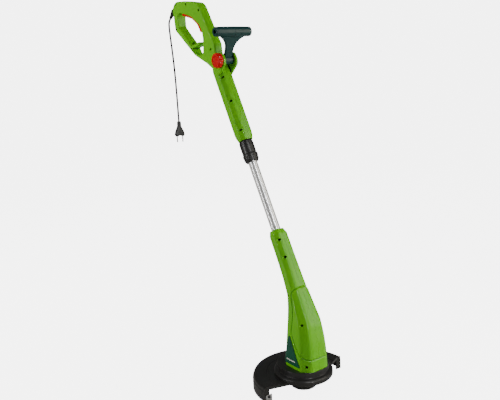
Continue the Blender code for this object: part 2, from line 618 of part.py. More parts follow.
# ================================================================ collar, bush and tube
def collar_and_tube():
    low, high, inner = COLLAR_BOTTOM, SLEEVE_BOTTOM - TOUCH_GAP, BORE_R - 0.0008
    collar = [(COLLAR_R - 0.0030, high), (COLLAR_R - 0.0008, high - 0.003), (COLLAR_R, high - 0.018),
              (COLLAR_R - 0.0006, high - 0.040), (COLLAR_R + 0.0012, high - 0.042),
              (COLLAR_R + 0.0014, high - 0.048), (COLLAR_R + 0.0004, high - 0.050),
              (COLLAR_R + 0.0006, low + 0.008), (COLLAR_R - 0.0034, low), (TUBE_R + RUN_GAP, low),
              (TUBE_R + RUN_GAP, low + 0.005), (inner, low + 0.006), (inner, high)]
    turned("lock_collar", collar, BLACK, steps=24, parent=SHAFT)
    bore = TUBE_R + TOUCH_GAP
    bush = [(BORE_R - TOUCH_GAP, BUSH_TOP), (BORE_R - TOUCH_GAP, high + 0.0006), (inner - RUN_GAP, high),
            (inner - RUN_GAP, low + 0.008), (bore, low + 0.008), (bore, BUSH_TOP)]
    turned("guide_bush", bush, NYLON, steps=24, parent=SHAFT)
    tube = [(TUBE_R, TUBE_TOP), (TUBE_R, TUBE_BOTTOM), (TUBE_R - TUBE_WALL, TUBE_BOTTOM),
            (TUBE_R - TUBE_WALL, TUBE_TOP)]
    turned("inner_tube", tube, ALUMINIUM, steps=24, parent=SHAFT)
    route = [on_shaft(TUBE_TOP - 0.01, 0), on_shaft(0, 0), on_shaft(TUBE_BOTTOM, 0), on_shaft(-0.25, 0.006),
             (0.458, -0.790), (HEAD_X, -0.830), (HEAD_X, HEAD_Z + MOTOR_TOP + 0.026)]
    points = [(x, 0, z) for x, z in smooth_path(route, 0.016)]
    wire("motor_lead", points, 0.0026, RUBBER)


# ================================================================ lower housing
def lower_sections():
    """(rear, front, half width) from the neck's upper end down to the base."""
    neck = [(-0.120, 0.0032, 0.0055, 0.0060), (-0.134, 0.0060, 0.0105, 0.0115),
            (-0.200, 0.0060, 0.0105, 0.0122), (-0.250, 0.0065, 0.0100, 0.0138)]   # all past the tube's wall
    sections = [(on_shaft(s, -TUBE_R - rear), on_shaft(s, TUBE_R + front), TUBE_R + wide)
                for s, rear, front, wide in neck]
    base = HEAD_Z + HOUSING_BOTTOM
    rear, front, side = HEAD_X - MOTOR_R, HEAD_X + MOTOR_R, MOTOR_R
    sections += [((rear - 0.0040, -0.7920), on_shaft(-0.300, 0.0215), side),
                 ((rear - 0.0025, -0.8270), on_shaft(-0.345, 0.0230), side + 0.0045),
                 ((rear - 0.0040, -0.8670), on_shaft(-0.390, side - 0.0055), side + 0.0100),
                 ((rear - 0.0060, -0.9120), (front + 0.0310, -0.9030), side + 0.0150),
                 ((rear - 0.0085, -0.9520), (front + 0.0360, -0.9480), side + 0.0188),
                 ((rear - 0.0100, base), (front + 0.0390, base), side + 0.0200)]
    return sections


BADGE = [(0.457, -0.889, 0.003), (0.440, -0.972, 0.003), (0.505, -0.972, 0.003)]


def lower_housings():
    sections = lower_sections()
    core = loft("lower_core", sections, extra=-0.0012)
    places = list(HOUSING_SCREWS.values())
    bosses = cut(rods("lower_bosses", BOSS_R, -0.055, 0.055, places), core, "INTERSECT")
    heads, shanks = screw_bores("lower_bores", places)
    for name, side in (("lower_housing_right", -1), ("lower_housing_left", 1)):
        shell = loft(name, sections, GREEN, half=side)
        wall = shell.modifiers.new("wall", "SOLIDIFY")
        wall.thickness = WALL
        wall.offset = -1
        wall.use_even_offset = True
        cut(shell, bosses, "UNION")
        for cutter in (heads, shanks):
            cut(shell, cutter)
        away = -side * (PARTING / 2 - TOUCH_GAP / 2)
        cut(shell, block(name + "_parting", (PARTING, PARTING, PARTING), (HEAD_X, away, HEAD_Z)))
    for key, (x, z) in HOUSING_SCREWS.items():
        screw(f"housing_screw_{key}", x, z)
    outer = loft("badge_outer", sections, extra=0.0011)
    inner = loft("badge_inner", sections, extra=TOUCH_GAP)
    for name, side in (("badge_right", -1), ("badge_left", 1)):
        badge = slab(name, [rounded(BADGE)], 0.030, TEAL, location=(0, side * 0.045, 0), rotation=ALONG_Y)
        cut(badge, outer, "INTERSECT")
        cut(badge, inner)


# ================================================================ guard and line cutter
def guard():
    """A flat half disc with a skirt, open to the front, and the round base that the housing stands on."""
    skirt_in = GUARD_R - GUARD_WALL
    cup = [(GUARD_R - 0.006, 0), (GUARD_R - 0.0012, -0.003), (GUARD_R, -0.009), (GUARD_R, -SKIRT),
           (skirt_in, -SKIRT), (skirt_in, -0.009), (skirt_in - 0.004, -GUARD_WALL),
           (HUB_HOLE_R + 0.01, -GUARD_WALL), (HUB_HOLE_R + 0.01, 0)]
    plate = turned("guard", cup, BLACK, steps=48, parent=HEAD)
    past, rim = GUARD_R + 0.018, GUARD_R - 0.014
    front = [(0.004, -past), (0.004, -rim), (0.030, -0.070), (0.030, 0.070), (0.004, rim),
             (0.004, past), (past, past), (past, -past)]
    cut(plate, slab("guard_front", [front], 0.2, parent=HEAD))
    ring = [(RING_R - 0.010, RING_TOP), (RING_R - 0.011, 0.014), (RING_R - 0.0015, 0.011), (RING_R, 0.008),
            (RING_R, -0.003), (RING_R - 0.002, -0.005), (HUB_HOLE_R, -0.005), (HUB_HOLE_R, 0.022),
            (MOUNT_HOLE_R, 0.022), (MOUNT_HOLE_R, RING_TOP)]
    cut(plate, turned("guard_base", ring, steps=40, parent=HEAD), "UNION")
    for way, name in ((-1, "near"), (1, "far")):
        flange = block(f"guard_flange_{name}", (0.0035, 0.016, SKIRT - 0.002),
                       (0.0020, way * (GUARD_R - 0.0090), -SKIRT / 2 - 0.001), parent=HEAD)
        cut(plate, flange, "UNION")
    thick, outer, height = 0.0015, skirt_in, 0.024
    inner = outer - 0.021
    face = 0.0040 + TOUCH_GAP
    block("line_cutter", (thick, outer - inner, height),
          (face + thick / 2, -(outer + inner) / 2, -SKIRT + 0.006), STEEL, parent=HEAD)
    turned("cutter_screw", [(0, 0.0030), (0.0026, 0.0030), (0.0032, 0.0012), (0.0032, 0), (0, 0)], STEEL,
           steps=12, parent=HEAD, location=(face + thick + TOUCH_GAP, 0.010 - outer, -0.028),
           rotation=(0, math.pi / 2, 0))


# ================================================================ motor
def motor():
    low, high = MOTOR_BOTTOM, MOTOR_TOP
    can_in = MOTOR_R - 0.0015
    can = [(MOTOR_R - 0.002, high), (MOTOR_R, high - 0.002), (MOTOR_R, low), (can_in, low),
           (can_in, high - 0.0017), (0.0075, high - 0.0017), (0.0075, high)]
    turned("motor_can", can, STEEL, steps=20, parent=HEAD)
    mount_top = low - TOUCH_GAP
    flange, neck = MOTOR_R + 0.004, MOUNT_HOLE_R - 0.0015
    mount = [(flange, mount_top), (flange, RING_TOP + 0.0008), (neck, RING_TOP + 0.0008),
             (neck, RING_TOP - 0.006), (0.0095, RING_TOP - 0.006), (0.0095, mount_top)]
    turned("motor_mount", mount, BLACK, steps=20, parent=HEAD)
    for name, bottom, outer in (("upper_bearing", high - 0.0017, 0.0072), ("lower_bearing", low - 0.016, 0.0092)):
        ring = [(outer, bottom + 0.006), (outer, bottom), (ARMATURE_R + TOUCH_GAP, bottom),
                (ARMATURE_R + TOUCH_GAP, bottom + 0.006)]
        turned(name, ring, STEEL, steps=16, parent=HEAD)
    for name, way in (("brush_right", -1), ("brush_left", 1)):
        block(name, (0.006, 0.012, 0.008), (0, way * 0.0180, low + 0.010), CARBON, parent=HEAD)
    rotor_gap = 0.0010
    core_r = can_in - rotor_gap - 0.004
    core = [(core_r, high - 0.016), (core_r, low + 0.026), (ARMATURE_R + TOUCH_GAP, low + 0.026),
            (ARMATURE_R + TOUCH_GAP, high - 0.016)]
    turned("armature_core", core, COPPER, steps=20, parent=HEAD)
    commutator = [(0.0115, low + 0.018), (0.0115, low + 0.003), (ARMATURE_R + TOUCH_GAP, low + 0.003),
                  (ARMATURE_R + TOUCH_GAP, low + 0.018)]
    turned("commutator", commutator, COPPER, steps=16, parent=HEAD)
    rod("armature_shaft", ARMATURE_R, -0.018, high + 0.012, STEEL, sides=20, parent=HEAD)
    fan = [(0.0240, 0.0190), (0.0240, 0.0175), (0.0090, 0.0175), (0.0090, 0.0120),
           (ARMATURE_R + TOUCH_GAP, 0.0120), (ARMATURE_R + TOUCH_GAP, 0.0190)]
    wheel = turned("cooling_fan", fan, NYLON, steps=20, parent=HEAD)
    blades = 8
    for k in range(blades):
        angle = math.tau * k / blades
        vane = block(f"fan_vane_{k}", (0.0130, 0.0012, 0.0060), (0.0163, 0, 0.0149), parent=HEAD,
                     rotation=(0, 0, angle))
        cut(wheel, vane, "UNION")


# ================================================================ spool head
def spool():
    """A cup on the motor's shaft, with the line's spool inside and a bump button below."""
    bottom, top = SPOOL_BOTTOM, -0.004
    cup = [(SPOOL_R - 0.004, top), (SPOOL_R, top - 0.004), (SPOOL_R, bottom + 0.012),
           (SPOOL_R - 0.003, bottom + 0.003), (SPOOL_R - 0.008, bottom), (0.0230, bottom),
           (0.0230, bottom + 0.0025), (SPOOL_R - 0.009, bottom + 0.0025), (SPOOL_R - 0.0025, bottom + 0.009),
           (SPOOL_R - 0.0025, top - 0.0035), (0.0070, top - 0.0035), (0.0070, top - 0.012),
           (ARMATURE_R + TOUCH_GAP, top - 0.012), (ARMATURE_R + TOUCH_GAP, top)]
    housing = turned("spool_housing", cup, BLACK, steps=28, parent=HEAD)
    cut(housing, rod("line_hole", 0.0022, 0.02, 0.06, sides=12, parent=HEAD, location=(0, 0, -0.020),
                     rotation=(0, math.pi / 2, math.radians(20))))
    rod_r = 0.0085
    reel = [(0.0340, -0.0110), (0.0340, -0.0125), (0.0150, -0.0125), (0.0150, -0.0285), (0.0310, -0.0285),
            (0.0310, -0.0300), (rod_r, -0.0300), (rod_r, -0.0110)]
    turned("line_spool", reel, BLACK, steps=20, parent=HEAD)
    winding = [(0.0290, -0.0130), (0.0290, -0.0280), (0.0153, -0.0280), (0.0153, -0.0130)]
    turned("line_winding", winding, NYLON, steps=20, parent=HEAD)
    button = [(0, -0.0230), (0.0080, -0.0230), (0.0080, -0.0360), (0.0222, -0.0362),
              (0.0222, bottom - 0.0005), (0.0190, bottom - 0.0035), (0, bottom - 0.0045)]
    turned("bump_button", button, BLACK, steps=20, parent=HEAD)


upper_housings()
strain_relief()
cord_and_plug()
trigger_and_switch()
switch_lead()
front_handle()
bolt_and_knob()
collar_and_tube()
lower_housings()
guard()
motor()
spool()
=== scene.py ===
"""The looks of a corded string trimmer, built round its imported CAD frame.

Lengths are in metres, in the CAD's own frame: +X forward, +Y to the user's left, +Z up. Shapes are numpy
surfaces: outlines with quarter-round rims, profiles turned about an axis, and sections with soft corners.
"""

import json
import math

import bmesh
import bpy
import numpy as np
from mathutils import Matrix, Vector
from mathutils.geometry import tessellate_polygon


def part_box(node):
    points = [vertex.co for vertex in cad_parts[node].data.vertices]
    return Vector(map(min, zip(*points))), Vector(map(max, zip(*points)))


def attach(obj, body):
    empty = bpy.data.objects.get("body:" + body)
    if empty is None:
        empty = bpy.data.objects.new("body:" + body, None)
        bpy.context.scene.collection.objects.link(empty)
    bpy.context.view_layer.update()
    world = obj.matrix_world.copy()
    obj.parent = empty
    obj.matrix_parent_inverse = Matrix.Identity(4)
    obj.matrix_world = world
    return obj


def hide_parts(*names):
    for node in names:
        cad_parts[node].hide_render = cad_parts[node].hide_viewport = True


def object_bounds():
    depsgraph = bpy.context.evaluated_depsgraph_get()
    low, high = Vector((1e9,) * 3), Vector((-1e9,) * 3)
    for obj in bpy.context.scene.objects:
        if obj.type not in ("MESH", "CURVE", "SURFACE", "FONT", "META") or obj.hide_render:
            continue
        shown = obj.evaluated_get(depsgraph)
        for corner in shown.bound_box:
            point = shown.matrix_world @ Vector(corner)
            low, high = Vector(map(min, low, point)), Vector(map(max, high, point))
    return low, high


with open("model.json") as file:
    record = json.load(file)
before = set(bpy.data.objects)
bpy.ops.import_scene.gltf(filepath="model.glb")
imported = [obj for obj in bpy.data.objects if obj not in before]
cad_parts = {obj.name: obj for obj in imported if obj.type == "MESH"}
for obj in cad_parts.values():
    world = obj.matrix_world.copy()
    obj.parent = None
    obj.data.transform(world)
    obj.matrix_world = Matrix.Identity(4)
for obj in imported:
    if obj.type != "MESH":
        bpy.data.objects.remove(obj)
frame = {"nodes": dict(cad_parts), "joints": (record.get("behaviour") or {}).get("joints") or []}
CAD_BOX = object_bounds()
JOINTS = {joint["name"]: joint for joint in frame["joints"]}

# ---------------------------------------------------------------- places taken from the frame
SHAFT_UP = np.array(JOINTS["tube_slide"]["axis"])
SHAFT_OUT = np.array([SHAFT_UP[2], 0, -SHAFT_UP[0]])
COLLAR_STATION = 0.117                  # the collar joint's own place up the shaft
SHAFT_ORIGIN = np.array(JOINTS["collar_twist"]["pos_m"]) - COLLAR_STATION * SHAFT_UP
PIVOT = np.array(JOINTS["front_handle_tilt"]["pos_m"])
HEAD = np.array(JOINTS["rotor_spin"]["pos_m"])
FORWARD, SIDE, UP = np.eye(3)

# ---------------------------------------------------------------- design sizes, as in the CAD
TOUCH_GAP = 0.0003
WALL = 0.0028
GRIP_HALF = 0.0150
SLEEVE_BOTTOM, SLEEVE_TOP = 0.150, 0.400
SLEEVE_DEEP, SLEEVE_WIDE, SLEEVE_FORWARD = 0.0215, 0.0240, 0.002
BORE_R, TUBE_R = 0.0165, 0.0130
COLLAR_BOTTOM, COLLAR_R = 0.085, 0.0208
PIVOT_STATION, PIVOT_OUT = 0.384, 0.043
EAR_R, EAR_INNER, EAR_OUTER = 0.0184, 0.0165, 0.0252
BAR_LEAN = math.radians(23.8)
BAR_RISE, BAR_HALF, BAR_R, BARREL_R = 0.084, 0.060, 0.0142, 0.0120
BOLT_R, KNOB_R, KNOB_THICK = 0.0040, 0.0212, 0.0150
SCREW_R, SCREW_SEAT = 0.0034, 0.0076
SCREW_OUT = 0.0185
SCREW_HEIGHT, CUTTER_SCREW_R = 0.0024, 0.0032
GUARD_R, SKIRT, RING_R, RING_TOP = 0.142, 0.040, 0.082, 0.0295
HOUSING_BOTTOM = 0.030
SPOOL_R, SPOOL_BOTTOM, FINGER_GROOVES = 0.042, -0.041, 16
CORD_R = 0.0030
RELIEF_LENGTH = 0.036
PLUG_TURN = math.radians(80)
PIN_SPACING, PIN_R = 0.019, 0.0020

CORD_ROUTE = [(-0.1300, -0.0180), (-0.1347, -0.0212), (-0.1388, -0.0257), (-0.1414, -0.0313),
              (-0.1426, -0.0380), (-0.1424, -0.0500), (-0.1405, -0.0680), (-0.1379, -0.0900),
              (-0.1347, -0.1150), (-0.1316, -0.1420), (-0.1290, -0.1700), (-0.1271, -0.2000),
              (-0.1259, -0.2300), (-0.1251, -0.2600), (-0.1246, -0.2900), (-0.1242, -0.3200),
              (-0.1240, -0.3450)]


def on_shaft(station, out):
    """X and Z of a point a station up the shaft and a distance forward of its axis."""
    point = SHAFT_ORIGIN + station * SHAFT_UP + out * SHAFT_OUT
    return point[0], point[2]


# ================================================================ surfaces
def unit(vectors):
    return vectors / np.linalg.norm(vectors, axis=-1, keepdims=True)


def rounded(corners, turn=7.0):
    """A closed outline through (u, v, radius) corners, each an arc with points about `turn` degrees apart.

    A point of an arc is the spherical blend of its two end radii: (sin((1-t)s) a + sin(ts) b) / sin(s).
    """
    corners = np.array(corners, float)
    here, radii = corners[:, :2], corners[:, 2]
    back, on = unit(np.roll(here, 1, 0) - here), unit(np.roll(here, -1, 0) - here)
    halves = np.arccos(np.clip((back * on).sum(1), -1, 1)) / 2
    arcs = []
    for corner, to_last, to_next, radius, half in zip(here, back, on, radii, halves):
        sweep = math.pi - 2 * half
        if radius == 0 or sweep < 0.01:
            arcs.append(corner[None])
            continue
        middle = corner + unit(to_last + to_next) * radius / math.sin(half)
        start = corner + to_last * radius / math.tan(half) - middle
        end = corner + to_next * radius / math.tan(half) - middle
        t = np.linspace(0, 1, max(3, math.ceil(math.degrees(sweep) / turn) + 1))[:, None]
        arcs.append(middle + (np.sin((1 - t) * sweep) * start + np.sin(t * sweep) * end) / math.sin(sweep))
    loop = np.vstack(arcs)
    return loop[np.linalg.norm(loop - np.roll(loop, 1, 0), axis=1) > 1e-6]


def smooth_path(route, spacing):
    """Points an even spacing apart on a Catmull-Rom curve through the route's points."""
    route = np.array(route, float)
    ends = np.vstack([2 * route[0] - route[1], route, 2 * route[-1] - route[-2]])
    a, b, c, d = (ends[k:k + len(route) - 1, None] for k in range(4))
    t = np.linspace(0, 1, 20, endpoint=False)[None, :, None]
    fine = 0.5 * (2 * b + (c - a) * t + (2 * a - 5 * b + 4 * c - d) * t**2 + (3 * b - a - 3 * c + d) * t**3)
    fine = np.vstack([fine.reshape(-1, route.shape[1]), route[-1:]])
    along = np.concatenate([[0], np.cumsum(np.linalg.norm(np.diff(fine, axis=0), axis=1))])
    even = np.linspace(0, along[-1], round(along[-1] / spacing) + 1)
    return np.column_stack([np.interp(even, along, fine[:, k]) for k in range(fine.shape[1])])


def turning(loop):
    """Twice the signed area of a closed outline: positive when it runs anticlockwise."""
    after = np.roll(loop, -1, 0)
    return (loop[:, 0] * after[:, 1] - after[:, 0] * loop[:, 1]).sum()


def inset(loop, distance):
    """The closed outline moved to its left: each point goes along the mitre of its two edges' normals."""
    quarter = np.array([[0, 1], [-1, 0]])
    before = unit(loop - np.roll(loop, 1, 0)) @ quarter
    after = unit(np.roll(loop, -1, 0) - loop) @ quarter
    mitre = (before + after) / (1 + (before * after).sum(1, keepdims=True))
    return loop + mitre * distance


def quads(rows, columns, closed=True):
    """Faces between neighbouring rows of a grid of points; closed joins the last column to the first."""
    i = np.arange(rows - 1)[:, None]
    j = np.arange(columns if closed else columns - 1)[None]
    k = (j + 1) % columns
    corners = (i * columns + j, i * columns + k, (i + 1) * columns + k, (i + 1) * columns + j)
    return np.stack(corners, -1).reshape(-1, 4)


def make(name, points, faces):
    """An object at the origin with its faces turned outwards and its doubled points merged."""
    mesh = bpy.data.meshes.new(name)
    mesh.from_pydata(np.asarray(points).reshape(-1, 3).tolist(), [], faces)
    obj = bpy.data.objects.new(name, mesh)
    bpy.context.scene.collection.objects.link(obj)
    tidy_mesh(mesh)
    return obj


def tidy_mesh(mesh, distance=1e-6):
    bm = bmesh.new()
    bm.from_mesh(mesh)
    bmesh.ops.remove_doubles(bm, verts=bm.verts, dist=distance)
    bmesh.ops.dissolve_degenerate(bm, edges=bm.edges, dist=distance)
    bmesh.ops.delete(bm, geom=[edge for edge in bm.edges if not edge.link_faces], context="EDGES")
    bmesh.ops.recalc_face_normals(bm, faces=bm.faces)
    bm.to_mesh(mesh)
    bm.free()


SIDE_PLANE = (np.zeros(3), FORWARD, UP, SIDE)       # outlines in XZ, their thickness along Y


def plate(name, outlines, half, edge=0.0, steps=5, middle=0.0, place=SIDE_PLANE):
    """Outlines, holes among them, given a thickness with quarter-round rims.

    At angle a of the rim the outline is inset by edge (1 - cos a) at height half - edge + edge sin a.
    edge is one radius, or one for each outline.
    """
    origin, u_axis, v_axis, w_axis = place
    edges = edge if isinstance(edge, tuple) else (edge,) * len(outlines)
    angle = np.linspace(0, math.pi / 2, steps + 1 if any(edges) else 1)
    loops = [loop if (turning(loop) > 0) == (k == 0) else loop[::-1] for k, loop in enumerate(outlines)]
    points, faces, count = [], [], 0
    low, high = [], []
    for loop, radius in zip(loops, edges):
        inward, level = radius * (1 - np.cos(angle)), half - radius + radius * np.sin(angle)
        inward, level = np.concatenate([inward[::-1], inward]), np.concatenate([-level[::-1], level])
        flat = np.stack([inset(loop, distance) for distance in inward])
        grid = (origin + flat[..., :1] * u_axis + flat[..., 1:] * v_axis
                + (middle + level)[:, None, None] * w_axis)
        faces += (quads(len(level), len(loop)) + count).tolist()
        low.append(np.arange(len(loop)) + count)
        high.append(low[-1] + (len(level) - 1) * len(loop))
        points.append(grid.reshape(-1, 3))
        count += grid.shape[0] * grid.shape[1]
    rims = [[Vector((*point, 0)) for point in inset(loop, radius)] for loop, radius in zip(loops, edges)]
    fill = np.array(tessellate_polygon(rims))
    faces += np.concatenate(high)[fill].tolist() + np.concatenate(low)[fill][:, ::-1].tolist()
    return make(name, np.vstack(points), faces)


def turned(name, profile, origin, axis, steps=96, turn=12.0, ripple=None):
    """A closed profile of (radius, height, corner radius) turned about an axis.

    The point at angle a is origin + height axis + radius (cos a u + sin a v); ripple(a, radius, height)
    is added to the radius.
    """
    loop = rounded(profile, turn)
    axis = unit(np.array(axis, float))
    u = unit(np.cross(axis, FORWARD if abs(axis[0]) < 0.8 else UP))
    v = np.cross(axis, u)
    angle = np.linspace(0, math.tau, steps, endpoint=False)[:, None]
    radius, height = np.maximum(loop[None, :, 0], 0), loop[None, :, 1]
    if ripple is not None:
        radius = np.maximum(radius + ripple(angle, radius, height), 0)
    ring = np.cos(angle)[..., None] * u + np.sin(angle)[..., None] * v
    points = origin + radius[..., None] * ring + height[..., None] * axis
    return make(name, points.transpose(1, 0, 2), ring_faces(len(loop), steps))


def ring_faces(rows, columns):
    """Quads over a grid that closes both ways."""
    i, j = np.arange(rows)[:, None], np.arange(columns)[None]
    k, m = (i + 1) % rows, (j + 1) % columns
    corners = (i * columns + j, i * columns + m, k * columns + m, k * columns + j)
    return np.stack(corners, -1).reshape(-1, 4).tolist()


def soft_ring(angle, diagonal, sharp):
    """Unit section with eight soft-cornered faces.

    The radius at angle a is the sum over the faces of max(0, cos(a - face) / distance)^sharp, to the
    power -1/sharp; the four upright faces are 1 away and the four diagonal ones `diagonal` away.
    """
    facing = np.arange(8) * math.pi / 4
    distance = np.where(np.arange(8) % 2, np.asarray(diagonal)[..., None], 1.0)
    reach = np.maximum(np.cos(angle[..., None] - facing), 0) / distance
    return (reach ** sharp).sum(-1) ** (-1 / sharp)


def sections_solid(name, rear, front, half_width, diagonal, sharp, around, lift=None):
    """A closed solid through sections, each set by its rear and front points and its half width.

    Depth is the section's ring radius times cos a and half the rear-to-front distance, width is the
    radius times sin a and the half width; lift(points) moves each point outwards.
    """
    angle = np.linspace(0, math.tau, around, endpoint=False)[None]
    centre, forward = (rear + front) / 2, unit(front - rear)
    deep = np.linalg.norm(front - rear, axis=1)[:, None] / 2
    radius = soft_ring(angle, np.asarray(diagonal)[:, None], sharp)
    depth, width = radius * np.cos(angle) * deep, radius * np.sin(angle) * half_width[:, None]
    points = centre[:, None] + depth[..., None] * forward[:, None] + width[..., None] * SIDE
    if lift is not None:
        outward = unit(points - centre[:, None])
        points = points + outward * lift(points)[..., None]
    rows = len(points)
    faces = quads(rows, around).tolist()
    faces += [list(range(around)), list(range((rows - 1) * around, rows * around))[::-1]]
    return make(name, points, faces)


def carve(obj, others, operation="DIFFERENCE"):
    """Cuts the others out of the solid, or joins them to it, and uses them up."""
    for other in others:
        boolean = obj.modifiers.new(operation.lower(), "BOOLEAN")
        boolean.operation = operation
        boolean.solver = "MANIFOLD"
        boolean.object = other
    bpy.context.view_layer.update()
    mesh = bpy.data.meshes.new_from_object(obj.evaluated_get(bpy.context.evaluated_depsgraph_get()))
    obj.modifiers.clear()
    obj.data = mesh
    for other in others:
        bpy.data.objects.remove(other, do_unlink=True)
    return obj


def block(name, low, high):
    low, high = np.array(low, float), np.array(high, float)
    corner = np.array([[x, y, z] for x in (0, 1) for y in (0, 1) for z in (0, 1)])
    faces = [(0, 1, 3, 2), (4, 6, 7, 5), (0, 4, 5, 1), (2, 3, 7, 6), (0, 2, 6, 4), (1, 5, 7, 3)]
    return make(name, low + corner * (high - low), faces)


def rod(name, start, end, radius, steps=40):
    """A round rod between two points."""
    start, end = np.array(start, float), np.array(end, float)
    length = np.linalg.norm(end - start)
    profile = [(0, 0, 0), (radius, 0, 0), (radius, length, 0), (0, length, 0)]
    return turned(name, profile, start, end - start, steps)


def halves(form, right, left):
    """Parts a solid down the middle with a hairline gap and returns its right and left halves."""
    made = []
    for name, side in ((right, -1), (left, 1)):
        half = form.copy()
        half.data = form.data.copy()
        half.name = name
        bpy.context.scene.collection.objects.link(half)
        near, far = sorted((-side * 0.5, side * TOUCH_GAP / 2))
        made.append(carve(half, [block(name + "_rest", (-1, near, -2), (1, far, 1))]))
    bpy.data.objects.remove(form, do_unlink=True)
    return made


# ================================================================ finishes
def node_group(name, inputs, outputs):
    """An empty shader group with float inputs and float outputs."""
    group = bpy.data.node_groups.new(name, "ShaderNodeTree")
    for label, value in inputs:
        socket = group.interface.new_socket(label, in_out="INPUT", socket_type="NodeSocketFloat")
        socket.default_value = value
    for label in outputs:
        group.interface.new_socket(label, in_out="OUTPUT", socket_type="NodeSocketFloat")
    return group, group.nodes.new("NodeGroupInput"), group.nodes.new("NodeGroupOutput")


def math_node(tree, operation, first, second=None, clamp=False):
    node = tree.nodes.new("ShaderNodeMath")
    node.operation = operation
    node.use_clamp = clamp
    for socket, value in zip(node.inputs, (first, second)):
        if isinstance(value, bpy.types.NodeSocket):
            tree.links.new(value, socket)
        elif value is not None:
            socket.default_value = value
    return node.outputs[0]


def noise_node(tree, vector, scale, detail=3.0, rough=0.55):
    node = tree.nodes.new("ShaderNodeTexNoise")
    tree.links.new(vector, node.inputs["Vector"])
    node.inputs["Detail"].default_value = detail
    node.inputs["Roughness"].default_value = rough
    if isinstance(scale, bpy.types.NodeSocket):
        tree.links.new(scale, node.inputs["Scale"])
    else:
        node.inputs["Scale"].default_value = scale
    return node.outputs["Fac"]


def moulded_grain():
    """Spark-eroded mould texture: fine pits over slow waves, as a height and a slow tone from 0 to 1."""
    group, given, out = node_group("moulded_grain", [("Scale", 900.0), ("Waves", 14.0)], ["Height", "Tone"])
    place = group.nodes.new("ShaderNodeTexCoord").outputs["Object"]
    pits = noise_node(group, place, given.outputs["Scale"], 2.0, 0.6)
    waves = noise_node(group, place, given.outputs["Waves"], 3.0)
    slow = math_node(group, "MULTIPLY", waves, 1.6)
    group.links.new(math_node(group, "ADD", pits, slow), out.inputs["Height"])
    group.links.new(waves, out.inputs["Tone"])
    return group


def edge_rub():
    """Polish on rounded edges: 1 where the normal over a small radius leans away from the true one."""
    group, given, out = node_group("edge_rub", [("Radius", 0.0016), ("Strength", 3.0)], ["Mask"])
    bevel = group.nodes.new("ShaderNodeBevel")
    bevel.samples = 4
    group.links.new(given.outputs["Radius"], bevel.inputs["Radius"])
    geometry = group.nodes.new("ShaderNodeNewGeometry")
    dot = group.nodes.new("ShaderNodeVectorMath")
    dot.operation = "DOT_PRODUCT"
    group.links.new(bevel.outputs["Normal"], dot.inputs[0])
    group.links.new(geometry.outputs["Normal"], dot.inputs[1])
    lean = math_node(group, "SUBTRACT", 1.0, dot.outputs["Value"])
    broken = noise_node(group, group.nodes.new("ShaderNodeTexCoord").outputs["Object"], 160.0)
    mask = math_node(group, "MULTIPLY", math_node(group, "MULTIPLY", lean, given.outputs["Strength"]), broken)
    group.links.new(math_node(group, "MINIMUM", mask, 1.0), out.inputs["Mask"])
    return group


def settled_dust():
    """Fine dust on what faces up: the upward part of the normal, broken up by noise."""
    group, given, out = node_group("settled_dust", [("Amount", 0.2)], ["Mask"])
    parts = group.nodes.new("ShaderNodeSeparateXYZ")
    group.links.new(group.nodes.new("ShaderNodeNewGeometry").outputs["Normal"], parts.inputs[0])
    place = group.nodes.new("ShaderNodeTexCoord").outputs["Object"]
    upward = math_node(group, "POWER", math_node(group, "MAXIMUM", parts.outputs["Z"], 0.0), 3.0)
    specks = noise_node(group, place, 60.0, 6.0, 0.7)
    mask = math_node(group, "MULTIPLY", math_node(group, "MULTIPLY", upward, specks), given.outputs["Amount"])
    group.links.new(math_node(group, "MINIMUM", mask, 1.0), out.inputs["Mask"])
    return group


def painted_recess_shade():
    """Painted shade in recesses: 0 on open faces, rising to 1 where little sky reaches the point."""
    inputs = [("Reach", 0.007), ("Open", 0.72), ("Closed", 0.42)]
    group, given, out = node_group("painted_recess_shade", inputs, ["Mask"])
    open_share = group.nodes.new("ShaderNodeAmbientOcclusion")
    open_share.samples = 8
    group.links.new(given.outputs["Reach"], open_share.inputs["Distance"])
    spread = group.nodes.new("ShaderNodeMapRange")
    group.links.new(open_share.outputs["AO"], spread.inputs["Value"])
    group.links.new(given.outputs["Open"], spread.inputs["From Min"])
    group.links.new(given.outputs["Closed"], spread.inputs["From Max"])
    group.links.new(spread.outputs["Result"], out.inputs["Mask"])
    return group


# the recess mask is painted shade: it darkens holes, grooves and gaps where shadow falls
GRAIN, RUB, DUST, RECESS_PAINTED_SHADE = moulded_grain(), edge_rub(), settled_dust(), painted_recess_shade()


def use(tree, group, **values):
    node = tree.nodes.new("ShaderNodeGroup")
    node.node_tree = group
    for label, value in values.items():
        node.inputs[label].default_value = value
    return node


def mixed(tree, factor, first, second):
    """A colour between two, each a socket or a colour."""
    node = tree.nodes.new("ShaderNodeMix")
    node.data_type = "RGBA"
    tree.links.new(factor, node.inputs["Factor"])
    for label, value in (("A", first), ("B", second)):
        socket = next(s for s in node.inputs if s.name == label and s.type == "RGBA")
        if isinstance(value, bpy.types.NodeSocket):
            tree.links.new(value, socket)
        else:
            socket.default_value = (*value, 1)
    return next(s for s in node.outputs if s.type == "RGBA")


def ranged(tree, value, low, high):
    """A 0 to 1 value spread from low to high."""
    node = tree.nodes.new("ShaderNodeMapRange")
    tree.links.new(value, node.inputs["Value"])
    node.inputs["To Min"].default_value = low
    node.inputs["To Max"].default_value = high
    return node.outputs["Result"]


